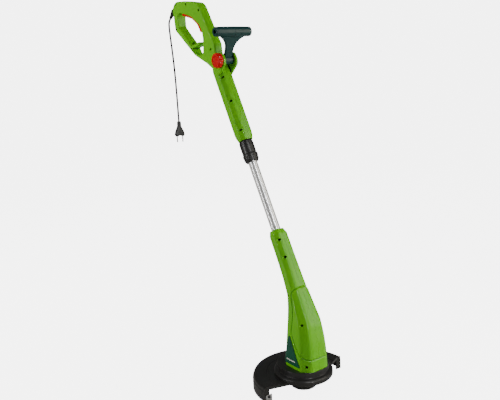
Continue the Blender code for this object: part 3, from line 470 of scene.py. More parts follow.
def finish(name, color, shade, roughness, metallic=0.0, grain=900.0, depth=0.00003, rub=None, rub_mix=0.5,
           dust=0.03, coat=0.0, coat_roughness=0.1, specular=0.4, marks=None, painted_shade_colour=None):
    """A material: two close tones over slow waves, rubbed edges, a trace of dust, and grain as bump.

    roughness is (least, most) over the waves; marks(tree, colour) may paint on the colour; painted_shade_colour is
    painted shade, the dark colour mixed in deep in holes and grooves.
    """
    material = bpy.data.materials.new(name)
    material.use_nodes = True
    tree = material.node_tree
    shader = tree.nodes["Principled BSDF"]
    texture = use(tree, GRAIN, Scale=grain)
    tone = ranged(tree, texture.outputs["Tone"], -0.6, 1.6)
    painted = mixed(tree, tone, color, shade)
    if marks is not None:
        painted = marks(tree, painted)
    if rub is not None:
        mask = math_node(tree, "MULTIPLY", use(tree, RUB).outputs["Mask"], rub_mix)
        painted = mixed(tree, mask, painted, rub)
    dusted_and_shaded = mixed(tree, use(tree, DUST, Amount=dust).outputs["Mask"], painted, (0.55, 0.53, 0.48))
    # painted shade: the colour darkens towards the recess colour where the ambient-occlusion mask finds a recess
    if painted_shade_colour is not None:
        dusted_and_shaded = mixed(tree, use(tree, RECESS_PAINTED_SHADE).outputs["Mask"], dusted_and_shaded, painted_shade_colour)
    tree.links.new(dusted_and_shaded, shader.inputs["Base Color"])
    tree.links.new(ranged(tree, texture.outputs["Tone"], *roughness), shader.inputs["Roughness"])
    bump = tree.nodes.new("ShaderNodeBump")
    bump.inputs["Distance"].default_value = depth
    tree.links.new(texture.outputs["Height"], bump.inputs["Height"])
    tree.links.new(bump.outputs["Normal"], shader.inputs["Normal"])
    shader.inputs["Metallic"].default_value = metallic
    shader.inputs["Specular IOR Level"].default_value = specular
    shader.inputs["Coat Weight"].default_value = coat
    shader.inputs["Coat Roughness"].default_value = coat_roughness
    return material


def brushed(name, color, roughness, streak, metallic):
    """Drawn metal: streaks long along the shaft and fine round it, in roughness, colour and bump."""
    material = bpy.data.materials.new(name)
    material.use_nodes = True
    tree = material.node_tree
    shader = tree.nodes["Principled BSDF"]
    mapping = tree.nodes.new("ShaderNodeMapping")
    mapping.vector_type = "POINT"
    mapping.inputs["Rotation"].default_value = (0, math.atan2(-SHAFT_UP[0], SHAFT_UP[2]), 0)
    mapping.inputs["Scale"].default_value = (streak, streak, streak / 60)
    tree.links.new(tree.nodes.new("ShaderNodeTexCoord").outputs["Object"], mapping.inputs["Vector"])
    lines = noise_node(tree, mapping.outputs["Vector"], 1.0, 4.0, 0.7)
    tree.links.new(mixed(tree, lines, tuple(0.86 * c for c in color), color), shader.inputs["Base Color"])
    tree.links.new(ranged(tree, lines, *roughness), shader.inputs["Roughness"])
    bump = tree.nodes.new("ShaderNodeBump")
    bump.inputs["Distance"].default_value = 0.00002
    tree.links.new(lines, bump.inputs["Height"])
    tree.links.new(bump.outputs["Normal"], shader.inputs["Normal"])
    shader.inputs["Metallic"].default_value = metallic
    return material


# the last colour given to LIME and TEAL is painted shade for their holes and grooves
LIME = finish("lime_shell", (0.150, 0.560, 0.000), (0.120, 0.520, 0.000), (0.32, 0.42), rub=(0.24, 0.64, 0.00),
              rub_mix=0.3, dust=0.0, coat=0.22, coat_roughness=0.09, specular=0.15, painted_shade_colour=(0.002, 0.010, 0.001))
TEAL = finish("teal_grip", (0.001, 0.046, 0.046), (0.001, 0.037, 0.038), (0.30, 0.40), depth=0.00004,
              rub=(0.01, 0.09, 0.09), dust=0.01, painted_shade_colour=(0.002, 0.004, 0.006))
RED = finish("red_lever", (0.70, 0.001, 0.003), (0.62, 0.001, 0.002), (0.28, 0.38), rub=(0.75, 0.005, 0.005),
             rub_mix=0.2, dust=0.0, coat=0.12, specular=0.15)
BLACK = finish("black_moulding", (0.011, 0.011, 0.011), (0.008, 0.008, 0.008), (0.32, 0.46), grain=700.0,
               depth=0.00005, rub=(0.05, 0.05, 0.05), dust=0.01, specular=0.5)
RUBBER = finish("black_rubber", (0.010, 0.010, 0.010), (0.007, 0.007, 0.007), (0.50, 0.66), grain=500.0,
                depth=0.00005, rub=(0.04, 0.04, 0.04), dust=0.01)
ALUMINIUM = brushed("drawn_aluminium", (0.90, 0.91, 0.93), (0.22, 0.36), 900.0, 0.55)
STEEL = finish("zinc_steel", (0.55, 0.55, 0.57), (0.46, 0.46, 0.48), (0.24, 0.40), metallic=1.0, grain=300.0,
               depth=0.00002)
DARK_STEEL = finish("blackened_steel", (0.05, 0.05, 0.052), (0.03, 0.03, 0.032), (0.34, 0.5), metallic=1.0,
                    grain=300.0, depth=0.00002)
COPPER = finish("copper_winding", (0.72, 0.32, 0.14), (0.60, 0.25, 0.10), (0.3, 0.45), metallic=1.0)
CARBON = finish("pressed_carbon", (0.020, 0.020, 0.020), (0.014, 0.014, 0.014), (0.6, 0.8))
NYLON = finish("orange_nylon", (0.80, 0.35, 0.02), (0.70, 0.28, 0.02), (0.35, 0.5))


def shown(obj, material, body, nodes=(), angle=32.0, bevel=0.0):
    """Gives a finished piece its material, smooth shading with sharp edges kept, its body and its nodes."""
    if obj.type == "MESH":
        obj.data.materials.clear()
        obj.data.materials.append(material)
        obj.data.shade_smooth()
        obj.data.set_sharp_from_angle(angle=math.radians(angle))
        if bevel:
            soft = obj.modifiers.new("soft_edges", "BEVEL")
            soft.width = bevel
            soft.segments = 2
            soft.limit_method = "ANGLE"
            soft.angle_limit = math.radians(angle)
            soft.harden_normals = True
    else:
        obj.data.materials.append(material)
    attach(obj, body)
    if nodes:
        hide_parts(*nodes)
    return obj


# ================================================================ rear handle and sleeve
LOOP_OUTER = [(-0.094, 0.028, 0.026), (-0.022, 0.0245, 0.20), (0.056, 0.013, 0.038), (0.107, -0.071, 0.03),
              (0.131, -0.108, 0.014), (0.134, -0.134, 0.014), (*on_shaft(0.378, 0.012), 0.0085),
              (*on_shaft(0.378, -0.012), 0.0085), (0.084, -0.164, 0.02), (0.022, -0.139, 0.06),
              (-0.084, -0.059, 0.018)]
LOOP_INNER = [(-0.062, -0.006, 0.014), (-0.060, -0.050, 0.012), (0.010, -0.111, 0.010),
              (0.022, -0.131, 0.009), (0.048, -0.140, 0.010), (0.070, -0.134, 0.009), (0.073, -0.092, 0.02),
              (0.069, -0.070, 0.025), (0.057, -0.051, 0.025), (0.017, -0.025, 0.04), (-0.025, -0.013, 0.03)]
HOOK = [(-0.001, -0.1110, 0.0020), (0.048, -0.0995, 0.0040), (0.058, -0.1070, 0.0025),
        (0.050, -0.1078, 0.0030), (0.004, -0.1185, 0.0020)]
POCKET = [(0.126, -0.160, 0.002), (0.1295, -0.130, 0.010), (0.1265, -0.108, 0.011), (0.1035, -0.0695, 0.028),
          (0.054, 0.0097, 0.034), (-0.022, 0.0213, 0.18), (-0.0905, 0.0245, 0.023), (-0.0805, -0.056, 0.014),
          (-0.0655, -0.056, 0.004), (-0.0655, -0.002, 0.010), (-0.025, -0.0095, 0.03),
          (0.018, -0.0215, 0.04), (0.0595, -0.0485, 0.022), (0.0725, -0.069, 0.022), (0.0765, -0.092, 0.01),
          (0.0755, -0.130, 0.004), (0.100, -0.148, 0.004)]
TRIGGER_SLOT = [(-0.049, 0.006, 0), (-0.049, -0.022, 0), (0.009, -0.036, 0), (0.044, -0.052, 0),
                (0.056, -0.080, 0), (0.077, -0.076, 0), (0.074, -0.046, 0), (0.052, -0.018, 0),
                (0.010, -0.002, 0)]
TRIGGER = [(-0.048, 0.003, 0.004), (-0.046, -0.017, 0.005), (0.006, -0.0300, 0.03), (0.035, -0.0485, 0.02),
           (0.0505, -0.0725, 0.004), (0.064, -0.0725, 0.0045), (0.062, -0.050, 0.01), (0.044, -0.030, 0.02),
           (0.010, -0.014, 0.03), (-0.034, 0.0065, 0.006)]
POCKET_HALF, TRIGGER_HALF = 0.0116, 0.0080
CORD_SLOT_AT, CORD_SLOT_LEAN, CORD_SLOT_SIZE = (-0.006, -0.1075), math.radians(-35), (0.020, 0.013, 0.050)
HANDLE_SCREWS = {"front": (0.059, -0.009), "top": (-0.009, 0.013), "rear_top": (-0.070, 0.019),
                 "rear_low": (-0.073, -0.056), "hook": (0.008, -0.1195), "trunk": (0.112, -0.124)}
SLEEVE_SCREWS = {"upper": 0.343, "middle": 0.268, "lower": 0.178}
HOUSING_SCREWS = {"neck_top": on_shaft(-0.150, SCREW_OUT), "neck_low": on_shaft(-0.200, SCREW_OUT),
                  "body_rear": (0.440, -0.786), "body_low": (0.441, -0.862), "body_front": (0.4997, -0.8545),
                  "base": (0.518, -0.967)}
RIGHT_LIMIT = -0.060                    # beyond every right-hand face


def bores(name, places):
    """Counterbores from the right side down to the screws' seats, and the shanks' holes below them."""
    cutters = []
    for k, (x, z) in enumerate(places):
        seat = -SCREW_SEAT + TOUCH_GAP
        cutters.append(rod(f"{name}_head_{k}", (x, RIGHT_LIMIT, z), (x, seat, z), SCREW_R + 0.0005, 28))
        cutters.append(rod(f"{name}_shank_{k}", (x, seat - 0.002, z), (x, 0.007, z), 0.0017, 16))
    return cutters


def sleeve_form():
    """The sleeve round the tube: a soft eight-sided section, eased in at its foot and narrowed at its top."""
    station = np.concatenate([SLEEVE_BOTTOM + 0.022 * np.array([0, 0.1, 0.3, 0.6, 1.0]),
                              np.linspace(SLEEVE_BOTTOM + 0.03, SLEEVE_TOP - 0.03, 20),
                              np.linspace(SLEEVE_TOP - 0.024, SLEEVE_TOP, 6)])
    low = np.clip((station - SLEEVE_BOTTOM) / 0.022, 0, 1)
    high = np.clip((SLEEVE_TOP - station) / 0.030, 0, 1)
    eased = 0.80 + 0.20 * np.sin(low * math.pi / 2)
    deep = SLEEVE_DEEP * eased * (0.86 + 0.14 * high)
    wide = SLEEVE_WIDE * eased * (0.62 + 0.38 * np.sin(high * math.pi / 2))
    middle = SHAFT_ORIGIN + station[:, None] * SHAFT_UP + SLEEVE_FORWARD * SHAFT_OUT
    reach = deep[:, None] * SHAFT_OUT
    return sections_solid("sleeve_form", middle - reach, middle + reach,
                          wide, np.full(len(station), 1.075), 26, 128)


def handle_shells():
    form = plate("handle_form", [rounded(LOOP_OUTER), rounded(LOOP_INNER)], GRIP_HALF, (0.0060, 0.0024), 7)
    root, past = 0.004, PIVOT_OUT + EAR_R
    ear = rounded([(*on_shaft(PIVOT_STATION - 0.034, root), 0.004),
                   (*on_shaft(PIVOT_STATION - EAR_R, past), EAR_R * 0.999),
                   (*on_shaft(PIVOT_STATION + EAR_R, past), EAR_R * 0.999),
                   (*on_shaft(PIVOT_STATION + 0.034, root), 0.004)])
    half = (EAR_OUTER - EAR_INNER) / 2
    ears = [plate(f"ear_{side}", [ear], half, 0.0022, 4, side * (EAR_INNER + half)) for side in (-1, 1)]
    hook = plate("hook_form", [rounded(HOOK)], GRIP_HALF - 0.001, 0.0014, 3)
    carve(form, [sleeve_form(), *ears, hook], "UNION")
    x, z = CORD_SLOT_AT
    along = np.array([math.cos(CORD_SLOT_LEAN), math.sin(CORD_SLOT_LEAN)])
    across = np.array([-along[1], along[0]])
    corners = [(np.array([x, z]) + a * along * CORD_SLOT_SIZE[0] / 2 + b * across * CORD_SLOT_SIZE[2] / 2)
               for a, b in ((-1, -1), (1, -1), (1, 1), (-1, 1))]
    relief = RELIEF_ROOT - 0.010 * RELIEF_AXIS
    places = [*HANDLE_SCREWS.values(), *(on_shaft(station, SCREW_OUT) for station in SLEEVE_SCREWS.values())]
    bore_low = SHAFT_ORIGIN + (SLEEVE_BOTTOM - 0.01) * SHAFT_UP
    bore_high = SHAFT_ORIGIN + 0.386 * SHAFT_UP
    cutters = [plate("pocket", [rounded(POCKET)], POCKET_HALF),
               rod("tube_bore", bore_low, bore_high, BORE_R, 64),
               plate("trigger_slot", [rounded(TRIGGER_SLOT)], TRIGGER_HALF + 0.0005),
               plate("cord_slot", [rounded([(*corner, 0.003) for corner in corners])], CORD_SLOT_SIZE[1] / 2),
               rod("relief_hole", relief, relief + 0.04 * RELIEF_AXIS, 0.0058),
               rod("bolt_hole", PIVOT - 0.05 * SIDE, PIVOT + 0.05 * SIDE, BOLT_R + TOUCH_GAP),
               *bores("handle", places)]
    carve(form, cutters)
    right, left = halves(form, "handle_shell_right", "handle_shell_left")
    shown(right, LIME, "handle", ["upper_housing_right"], bevel=0.0004)
    shown(left, LIME, "handle", ["upper_housing_left"], bevel=0.0004)


# ================================================================ cord, strain relief and plug
CORD_POINTS = np.array([(x, 0, z) for x, z in smooth_path(CORD_ROUTE, 4.5 * CORD_R)])
RELIEF_AXIS = unit(CORD_POINTS[1] - CORD_POINTS[0])
RELIEF_ROOT = CORD_POINTS[0] - RELIEF_AXIS * (RELIEF_LENGTH + TOUCH_GAP)


def strain_relief():
    """A taper with cushioned ribs: between its ends the radius is the taper's, less a groove at each gap."""
    root, tip, ribs = 0.0078, 0.0048, 6
    height = np.linspace(0.0048, RELIEF_LENGTH, 90)
    share = (height - height[0]) / (height[-1] - height[0])
    wave = np.abs(np.sin(share * ribs * math.pi)) ** 0.5
    radius = root + (tip - root) * share - 0.0011 * (1 - wave)
    side = [(r, h, 0) for r, h in zip(radius[::-1], height[::-1])]
    profile = [(0, -0.006, 0), (0, RELIEF_LENGTH, 0), *side, (0.0055, 0.0045, 0), (0.0055, -0.006, 0.0004)]
    relief = turned("cord_sleeve", profile, RELIEF_ROOT, RELIEF_AXIS, 64)
    shown(relief, RUBBER, "handle", ["strain_relief"], 50)


def cord():
    """A round lead on one smooth curve through the route, from the sleeve's tip to the plug."""
    route = np.array([(x, 0, z) for x, z in smooth_path(CORD_ROUTE, 0.004)])
    curve = bpy.data.curves.new("mains_lead", "CURVE")
    curve.dimensions = "3D"
    curve.bevel_depth = CORD_R
    curve.bevel_resolution = 6
    curve.use_fill_caps = True
    spline = curve.splines.new("POLY")
    spline.points.add(len(route) - 1)
    spline.points.foreach_set("co", np.column_stack([route, np.ones(len(route))]).ravel())
    spline.use_smooth = True
    lead = bpy.data.objects.new("mains_lead", curve)
    bpy.context.scene.collection.objects.link(lead)
    shown(lead, RUBBER, "handle", ["power_cord"])
    length = np.linalg.norm(np.diff(route, axis=0), axis=1).sum()
    return lead, route[0], length


def plug():
    """A moulded two-pin plug: a flared body with a notch between its pins and a ribbed sleeve."""
    across = np.array([math.cos(PLUG_TURN), math.sin(PLUG_TURN), 0])
    thick = np.cross(UP, across)
    foot = np.array([CORD_ROUTE[-1][0], 0, CORD_ROUTE[-1][1]])
    top = -TOUCH_GAP
    side = [(0.0052, top, 0.001), (0.0060, top - 0.0160, 0.006), (0.0140, top - 0.0330, 0.009),
            (0.0165, top - 0.0430, 0.0045), (0.0135, top - 0.0490, 0.003), (0.0060, top - 0.0490, 0.003)]
    outline = [*side, (0, top - 0.0450, 0.004), *[(-x, z, r) for x, z, r in reversed(side)]]
    body = plate("mains_plug", [rounded(outline, 8)], 0.0075, 0.0034, 6, place=(foot, across, UP, thick))
    height = np.linspace(top - 0.022, top, 70)
    share = (height - height[0]) / (height[-1] - height[0])
    radius = 0.0062 - 0.0008 * share - 0.0007 * (1 - np.abs(np.sin(share * 5 * math.pi)) ** 0.5)
    profile = [(0, top - 0.022, 0), (0, top, 0), *[(r, h, 0) for r, h in zip(radius[::-1], height[::-1])]]
    grip = turned("plug_grip", profile[::-1], foot, UP, 48)
    carve(body, [grip], "UNION")
    shown(body, BLACK, "handle", ["plug_body"], 40)
    pieces = [body]
    for number, way in ((1, -1), (2, 1)):
        pin = [(0, top - 0.0682, 0), (0, top - 0.0493, 0), (PIN_R, top - 0.0493, 0.0001),
               (PIN_R, top - 0.0682, 0.0013)]
        made = turned(f"contact_pin_{number}", pin, foot + way * PIN_SPACING / 2 * across, UP, 32)
        pieces.append(shown(made, STEEL, "handle", [f"plug_pin_{number}"]))
    return pieces


# ================================================================ trigger, front handle, knob
def trigger():
    lever = plate("finger_trigger", [rounded(TRIGGER)], TRIGGER_HALF, 0.0030, 6)
    pivot = np.array(JOINTS["trigger_pull"]["pos_m"])
    carve(lever, [rod("trigger_bore", pivot - 0.02 * SIDE, pivot + 0.02 * SIDE, 0.0028, 32)])
    shown(lever, RED, "trigger", ["trigger"], 40)


def front_handle():
    """Crossbar turned about Y, a fan-shaped web with soft rims, and the pivot's barrel, joined as one."""
    lean_up = np.array([math.sin(BAR_LEAN), 0, math.cos(BAR_LEAN)])
    lean_out = np.array([math.cos(BAR_LEAN), 0, -math.sin(BAR_LEAN)])
    middle = PIVOT + BAR_RISE * lean_up
    across = np.linspace(BAR_HALF - 0.004, 0.0012, 24)
    swell = BAR_R * (1 - 0.06 * (across / BAR_HALF) ** 2)
    side = [(r, y, 0) for r, y in zip(swell, across)]
    seam = [(BAR_R - 0.0006, 0.0006, 0), (BAR_R - 0.0006, -0.0006, 0)]
    end = BAR_R * 0.94
    profile = [(0, BAR_HALF, 0), (end, BAR_HALF, 0.0032), *side, *seam,
               *[(r, -y, 0) for r, y, _ in side[::-1]], (end, -BAR_HALF, 0.0032), (0, -BAR_HALF, 0)]
    bar = turned("front_grip", profile, middle, SIDE, 96)
    waist = 0.0125
    flare = [(waist, 0.030), (waist + 0.0015, 0.040), (waist + 0.006, 0.051), (waist + 0.015, 0.0615),
             (waist + 0.028, 0.070), (BAR_HALF - 0.006, BAR_RISE - 0.009)]
    edge = np.vstack([[(waist, 0.0)], smooth_path(flare, 0.002), [(BAR_HALF - 0.006, BAR_RISE)]])
    outline = np.vstack([edge, edge[::-1] * (-1, 1)])
    web = plate("fan_web", [outline], 0.0055, 0.0024, 5, place=(PIVOT, SIDE, lean_up, lean_out))
    reach = EAR_INNER - 0.0005
    barrel = turned("pivot_barrel", [(0, -reach, 0), (BARREL_R, -reach, 0.0008), (BARREL_R, reach, 0.0008),
                                     (0, reach, 0)], PIVOT, SIDE, 72)
    carve(bar, [web, barrel], "UNION")
    holes = [rod("bolt_bore", PIVOT - 0.03 * SIDE, PIVOT + 0.03 * SIDE, BOLT_R + TOUCH_GAP)]
    for way in (-1, 1):
        start = middle + way * (BAR_HALF - 0.014) * SIDE
        holes.append(rod(f"bar_hole_{way}", start, start + way * 0.03 * SIDE, 0.0062, 48))
    carve(bar, holes)
    shown(bar, TEAL, "front_handle", ["front_handle"], 38, bevel=0.0004)


def knob():
    """A clamp knob whose rim dips between twelve flats: radius less d (1 - cos 12a), with a dished face."""
    angle = np.linspace(0, math.tau, 240, endpoint=False)
    radius = KNOB_R - 0.0007 * (1 - np.cos(12 * angle))
    rim = radius[:, None] * np.column_stack([np.cos(angle), np.sin(angle)])
    face = EAR_OUTER + TOUCH_GAP
    body = plate("clamp_wheel", [rim], KNOB_THICK / 2, 0.0026, 6, -face - KNOB_THICK / 2,
                 (PIVOT, FORWARD, UP, SIDE))
    outer = -(face + KNOB_THICK)
    dish = turned("dish", [(0, outer + 0.0012, 0), (0.0130, outer + 0.0012, 0.0008), (0.0145, outer - 0.001, 0),
                           (0, outer - 0.001, 0)], PIVOT, SIDE, 96)
    bore = rod("knob_bore", PIVOT - (EAR_OUTER + 0.011) * SIDE, PIVOT, BOLT_R + TOUCH_GAP)
    carve(body, [dish, bore])
    shown(body, RED, "knob", ["clamp_knob"], 40)


# ================================================================ collar and tube
def collar():
    """The locking collar: a smooth upper cone, a bead, and a fluted lower ring."""
    low, high = COLLAR_BOTTOM, SLEEVE_BOTTOM - TOUCH_GAP
    inner = BORE_R - 0.0008
    top = COLLAR_R
    profile = [(inner, high, 0.0003), (inner, low + 0.006, 0), (TUBE_R + 0.0005, low + 0.005, 0),
               (TUBE_R + 0.0005, low, 0.0004), (top - 0.0034, low, 0.0012), (top + 0.0006, low + 0.008, 0.004),
               (top + 0.0004, high - 0.050, 0.0006), (top + 0.0014, high - 0.0485, 0.0006),
               (top + 0.0012, high - 0.0425, 0.0006), (top - 0.0006, high - 0.040, 0.0008), (top, high - 0.018, 0.02),
               (top - 0.0006, high - 0.003, 0.002), (top - 0.0030, high, 0.0008)]

    def flutes(angle, radius, height):
        """Shallow cosine flutes where the ring is gripped, fading at its ends."""
        band = np.clip((height - low - 0.006) / 0.002, 0, 1) * np.clip((high - 0.0505 - height) / 0.0005, 0, 1)
        return -0.0005 * band * (radius > inner + 0.002) * (1 - np.cos(30 * angle)) / 2

    ring = turned("locking_collar", profile, SHAFT_ORIGIN, SHAFT_UP, 240, 10, flutes)
    shown(ring, BLACK, "collar", ["lock_collar"], 40)


def tube():
    """The telescopic tube, drawn aluminium with rounded lips."""
    low, high, wall = -0.200, 0.172, 0.0012
    profile = [(TUBE_R, low, 0.0003), (TUBE_R, high, 0.0004), (TUBE_R - wall, high, 0.0003),
               (TUBE_R - wall, low, 0.0003)]
    pipe = turned("shaft_tube", profile, SHAFT_ORIGIN, SHAFT_UP, 128)
    shown(pipe, ALUMINIUM, "lower", ["inner_tube"])


# ================================================================ motor housing
PANEL = [(0.560, -0.751), (0.500, -0.753), (0.472, -0.758), (0.459, -0.768), (0.4555, -0.782), (0.458, -0.798),
         (0.463, -0.815), (0.4665, -0.840), (0.465, -0.880), (0.470, -0.894), (0.490, -0.924), (0.507, -0.941),
         (0.530, -0.950), (0.560, -0.952)]   # the raised front panel's edge, seen from the side
GROOVE_WIDTH, GROOVE_DEPTH = 0.0018, 0.0030
PANEL_RAISE = 0.0014


def housing_sections(rows):
    """Rear and front points, half widths and corner shapes from the neck's top down to the base.

    Straight runs between the main sections are eased by averaging over neighbouring rows, apart from the
    chamfer at the neck's top.
    """
    neck = [(-0.134, -0.0190, 0.0235, 0.0245), (-0.200, -0.0190, 0.0235, 0.0252),
            (-0.250, -0.0195, 0.0230, 0.0268)]
    base = HEAD[2] + HOUSING_BOTTOM
    main = [(*on_shaft(s, rear), *on_shaft(s, front), wide) for s, rear, front, wide in neck]
    main += [(0.4280, -0.7920, *on_shaft(-0.300, 0.0215), 0.0300),
             (0.4295, -0.8270, *on_shaft(-0.345, 0.0230), 0.0345),
             (0.4280, -0.8670, *on_shaft(-0.390, 0.0245), 0.0400),
             (0.4260, -0.9120, 0.5230, -0.9030, 0.0450), (0.4235, -0.9520, 0.5280, -0.9480, 0.0488),
             (0.4220, base, 0.5310, base, 0.0500)]
    main = np.array(main)
    along = np.concatenate([[0], np.cumsum(np.hypot(*np.diff((main[:, :2] + main[:, 2:4]) / 2, axis=0).T))])
    even = np.linspace(0, along[-1], rows)
    dense = np.column_stack([np.interp(even, along, column) for column in main.T])
    reach = rows // 24
    window = np.hanning(2 * reach + 3)[1:-1]
    before = dense[0] - (dense[1] - dense[0]) * np.arange(reach, 0, -1)[:, None]
    after = dense[-1] + (dense[-1] - dense[-2]) * np.arange(1, reach + 1)[:, None]
    padded = np.vstack([before, dense, after])
    eased = np.column_stack([np.convolve(column, window / window.sum(), "valid") for column in padded.T])
    top_s, rear, front, wide = -0.120, -0.0162, 0.0185, 0.0190
    first = np.array([*on_shaft(top_s, rear), *on_shaft(top_s, front), wide])
    share = np.array([0, 0.25, 0.55, 0.85])[:, None]
    eased = np.vstack([first + (eased[0] - first) * share, eased])
    down = np.linspace(0, 1, len(eased))
    corner = 1.075 + 0.035 * np.clip((down - 0.45) / 0.3, 0, 1)
    return eased, corner


def panel_lift(points):
    """How far a point moves out: the panel stands proud, with a rounded groove along its edge.

    With d the distance to the edge in the side view, positive inside the panel, the lift is
    raise / (1 + exp(-d / w)) less depth exp(-(d / w)^2).
    """
    edge = smooth_path(PANEL, 0.004)
    flat = points.reshape(-1, 3)[:, [0, 2]]
    start, run = edge[:-1], np.diff(edge, axis=0)
    gap = np.full(len(flat), np.inf)
    signed = np.zeros(len(flat))
    for a, d in zip(start, run):
        t = np.clip((flat - a) @ d / (d @ d), 0, 1)
        away = flat - a - t[:, None] * d
        distance = np.hypot(*away.T)
        closer = distance < gap
        gap = np.where(closer, distance, gap)
        signed = np.where(closer, np.sign(d[0] * away[:, 1] - d[1] * away[:, 0]) * distance, signed)
    step = PANEL_RAISE / (1 + np.exp(-np.clip(signed / (0.6 * GROOVE_WIDTH), -40, 40)))
    groove = GROOVE_DEPTH * np.exp(-(signed / GROOVE_WIDTH) ** 2)
    return (step - groove - PANEL_RAISE / 2).reshape(points.shape[:-1])


def housing_form(name, rows=340, around=300, grow=0.0, plain=False):
    eased, corner = housing_sections(rows)
    rear, front = (np.column_stack([eased[:, k], 0 * eased[:, k], eased[:, k + 1]]) for k in (0, 2))
    out = unit(front - rear) * grow
    return sections_solid(name, rear - out, front + out, eased[:, 4] + grow, corner, 22, around,
                          None if plain else panel_lift)


def motor_housing():
    form = housing_form("housing_form")
    hollow = housing_form("housing_hollow", 60, 96, -WALL - 0.001, True)
    drop = block("hollow_top", (0, -0.2, -0.705), (1, 0.2, 0))
    carve(hollow, [drop])
    base = HEAD[2] + HOUSING_BOTTOM
    opening = hollow.copy()
    opening.data = hollow.data.copy()
    bpy.context.scene.collection.objects.link(opening)
    opening.data.transform(Matrix.Translation((0, 0, -0.012)))
    carve(opening, [block("above_base", (0, -0.2, base + 0.006), (1, 0.2, 0))])
    tube_low = SHAFT_ORIGIN - 0.23 * SHAFT_UP
    tube_top = SHAFT_ORIGIN - 0.10 * SHAFT_UP
    cutters = [hollow, opening, rod("tube_seat", tube_low, tube_top, TUBE_R + TOUCH_GAP, 72),
               *bores("housing", HOUSING_SCREWS.values())]
    carve(form, cutters)
    right, left = halves(form, "motor_housing_right", "motor_housing_left")
    shown(right, LIME, "lower", ["lower_housing_right"], 40)
    shown(left, LIME, "lower", ["lower_housing_left"], 40)


BADGE = [(0.457, -0.889, 0.003), (0.440, -0.972, 0.003), (0.505, -0.972, 0.003)]


def badges():
    """Thin triangular plates that follow the housing's sides."""
    outline = rounded(BADGE)
    for name, node, side in (("side_badge_right", "badge_right", -1), ("side_badge_left", "badge_left", 1)):
        badge = plate(name, [outline], 0.015, middle=side * 0.045)
        skin = housing_form(name + "_skin", 120, 160, 0.0011, True)
        carve(badge, [skin], "INTERSECT")
        carve(badge, [housing_form(name + "_inside", 120, 160, -0.0004, True)])
        shown(badge, BADGE_TEAL, "lower", [node], 35)


# ================================================================ guard, spool and cutter
def guard():
    """A half disc with a stepped skirt and rings, joined to the turned base that the housing stands on."""
    inner = GUARD_R - 0.003
    profile = [(0.050, 0, 0), (0.100, 0, 0), (0.1005, -0.0008, 0.0005), (0.103, -0.0008, 0.0005),
               (0.1035, 0, 0.0005), (GUARD_R - 0.0025, 0, 0.0070), (GUARD_R - 0.0012, -0.0100, 0.0008),
               (GUARD_R, -0.0112, 0.0006), (GUARD_R, -SKIRT, 0.0008), (inner, -SKIRT, 0.0008),
               (inner, -0.0100, 0.0060), (0.050, -0.0030, 0)]
    cup = turned("guard_cup", profile, HEAD, UP, 256, 12)
    front = [(0.004, -0.160, 0), (0.004, -0.128, 0.004), (0.030, -0.070, 0.012), (0.030, 0.070, 0.012),
             (0.004, 0.128, 0.004), (0.004, 0.160, 0), (0.160, 0.160, 0), (0.160, -0.160, 0)]
    away = plate("guard_front", [rounded(front)], 0.1, place=(HEAD, FORWARD, SIDE, UP))
    carve(cup, [away])
    ring = [(0.046, -0.005, 0.0006), (RING_R - 0.003, -0.005, 0.001), (RING_R, -0.003, 0.0022),
            (RING_R, 0.008, 0.0022), (RING_R - 0.004, 0.0115, 0.003), (RING_R - 0.0110, 0.0135, 0.002),
            (RING_R - 0.0100, RING_TOP, 0.0012), (0.030, RING_TOP, 0.0005), (0.030, 0.022, 0.0005),
            (0.046, 0.022, 0.0008)]
    base = turned("guard_base_ring", ring, HEAD, UP, 200, 12)
    flanges = []
    for way in (-1, 1):
        near, far = sorted((way * (GUARD_R - 0.017), way * (GUARD_R - 0.001)))
        low = HEAD + np.array([0.00025, near, -SKIRT + 0.001])
        flanges.append(block(f"flange_{way}", low, HEAD + np.array([0.00375, far, -0.002])))
    carve(cup, [base, *flanges], "UNION")
    shown(cup, BLACK, "lower", ["guard"], 38, bevel=0.0004)


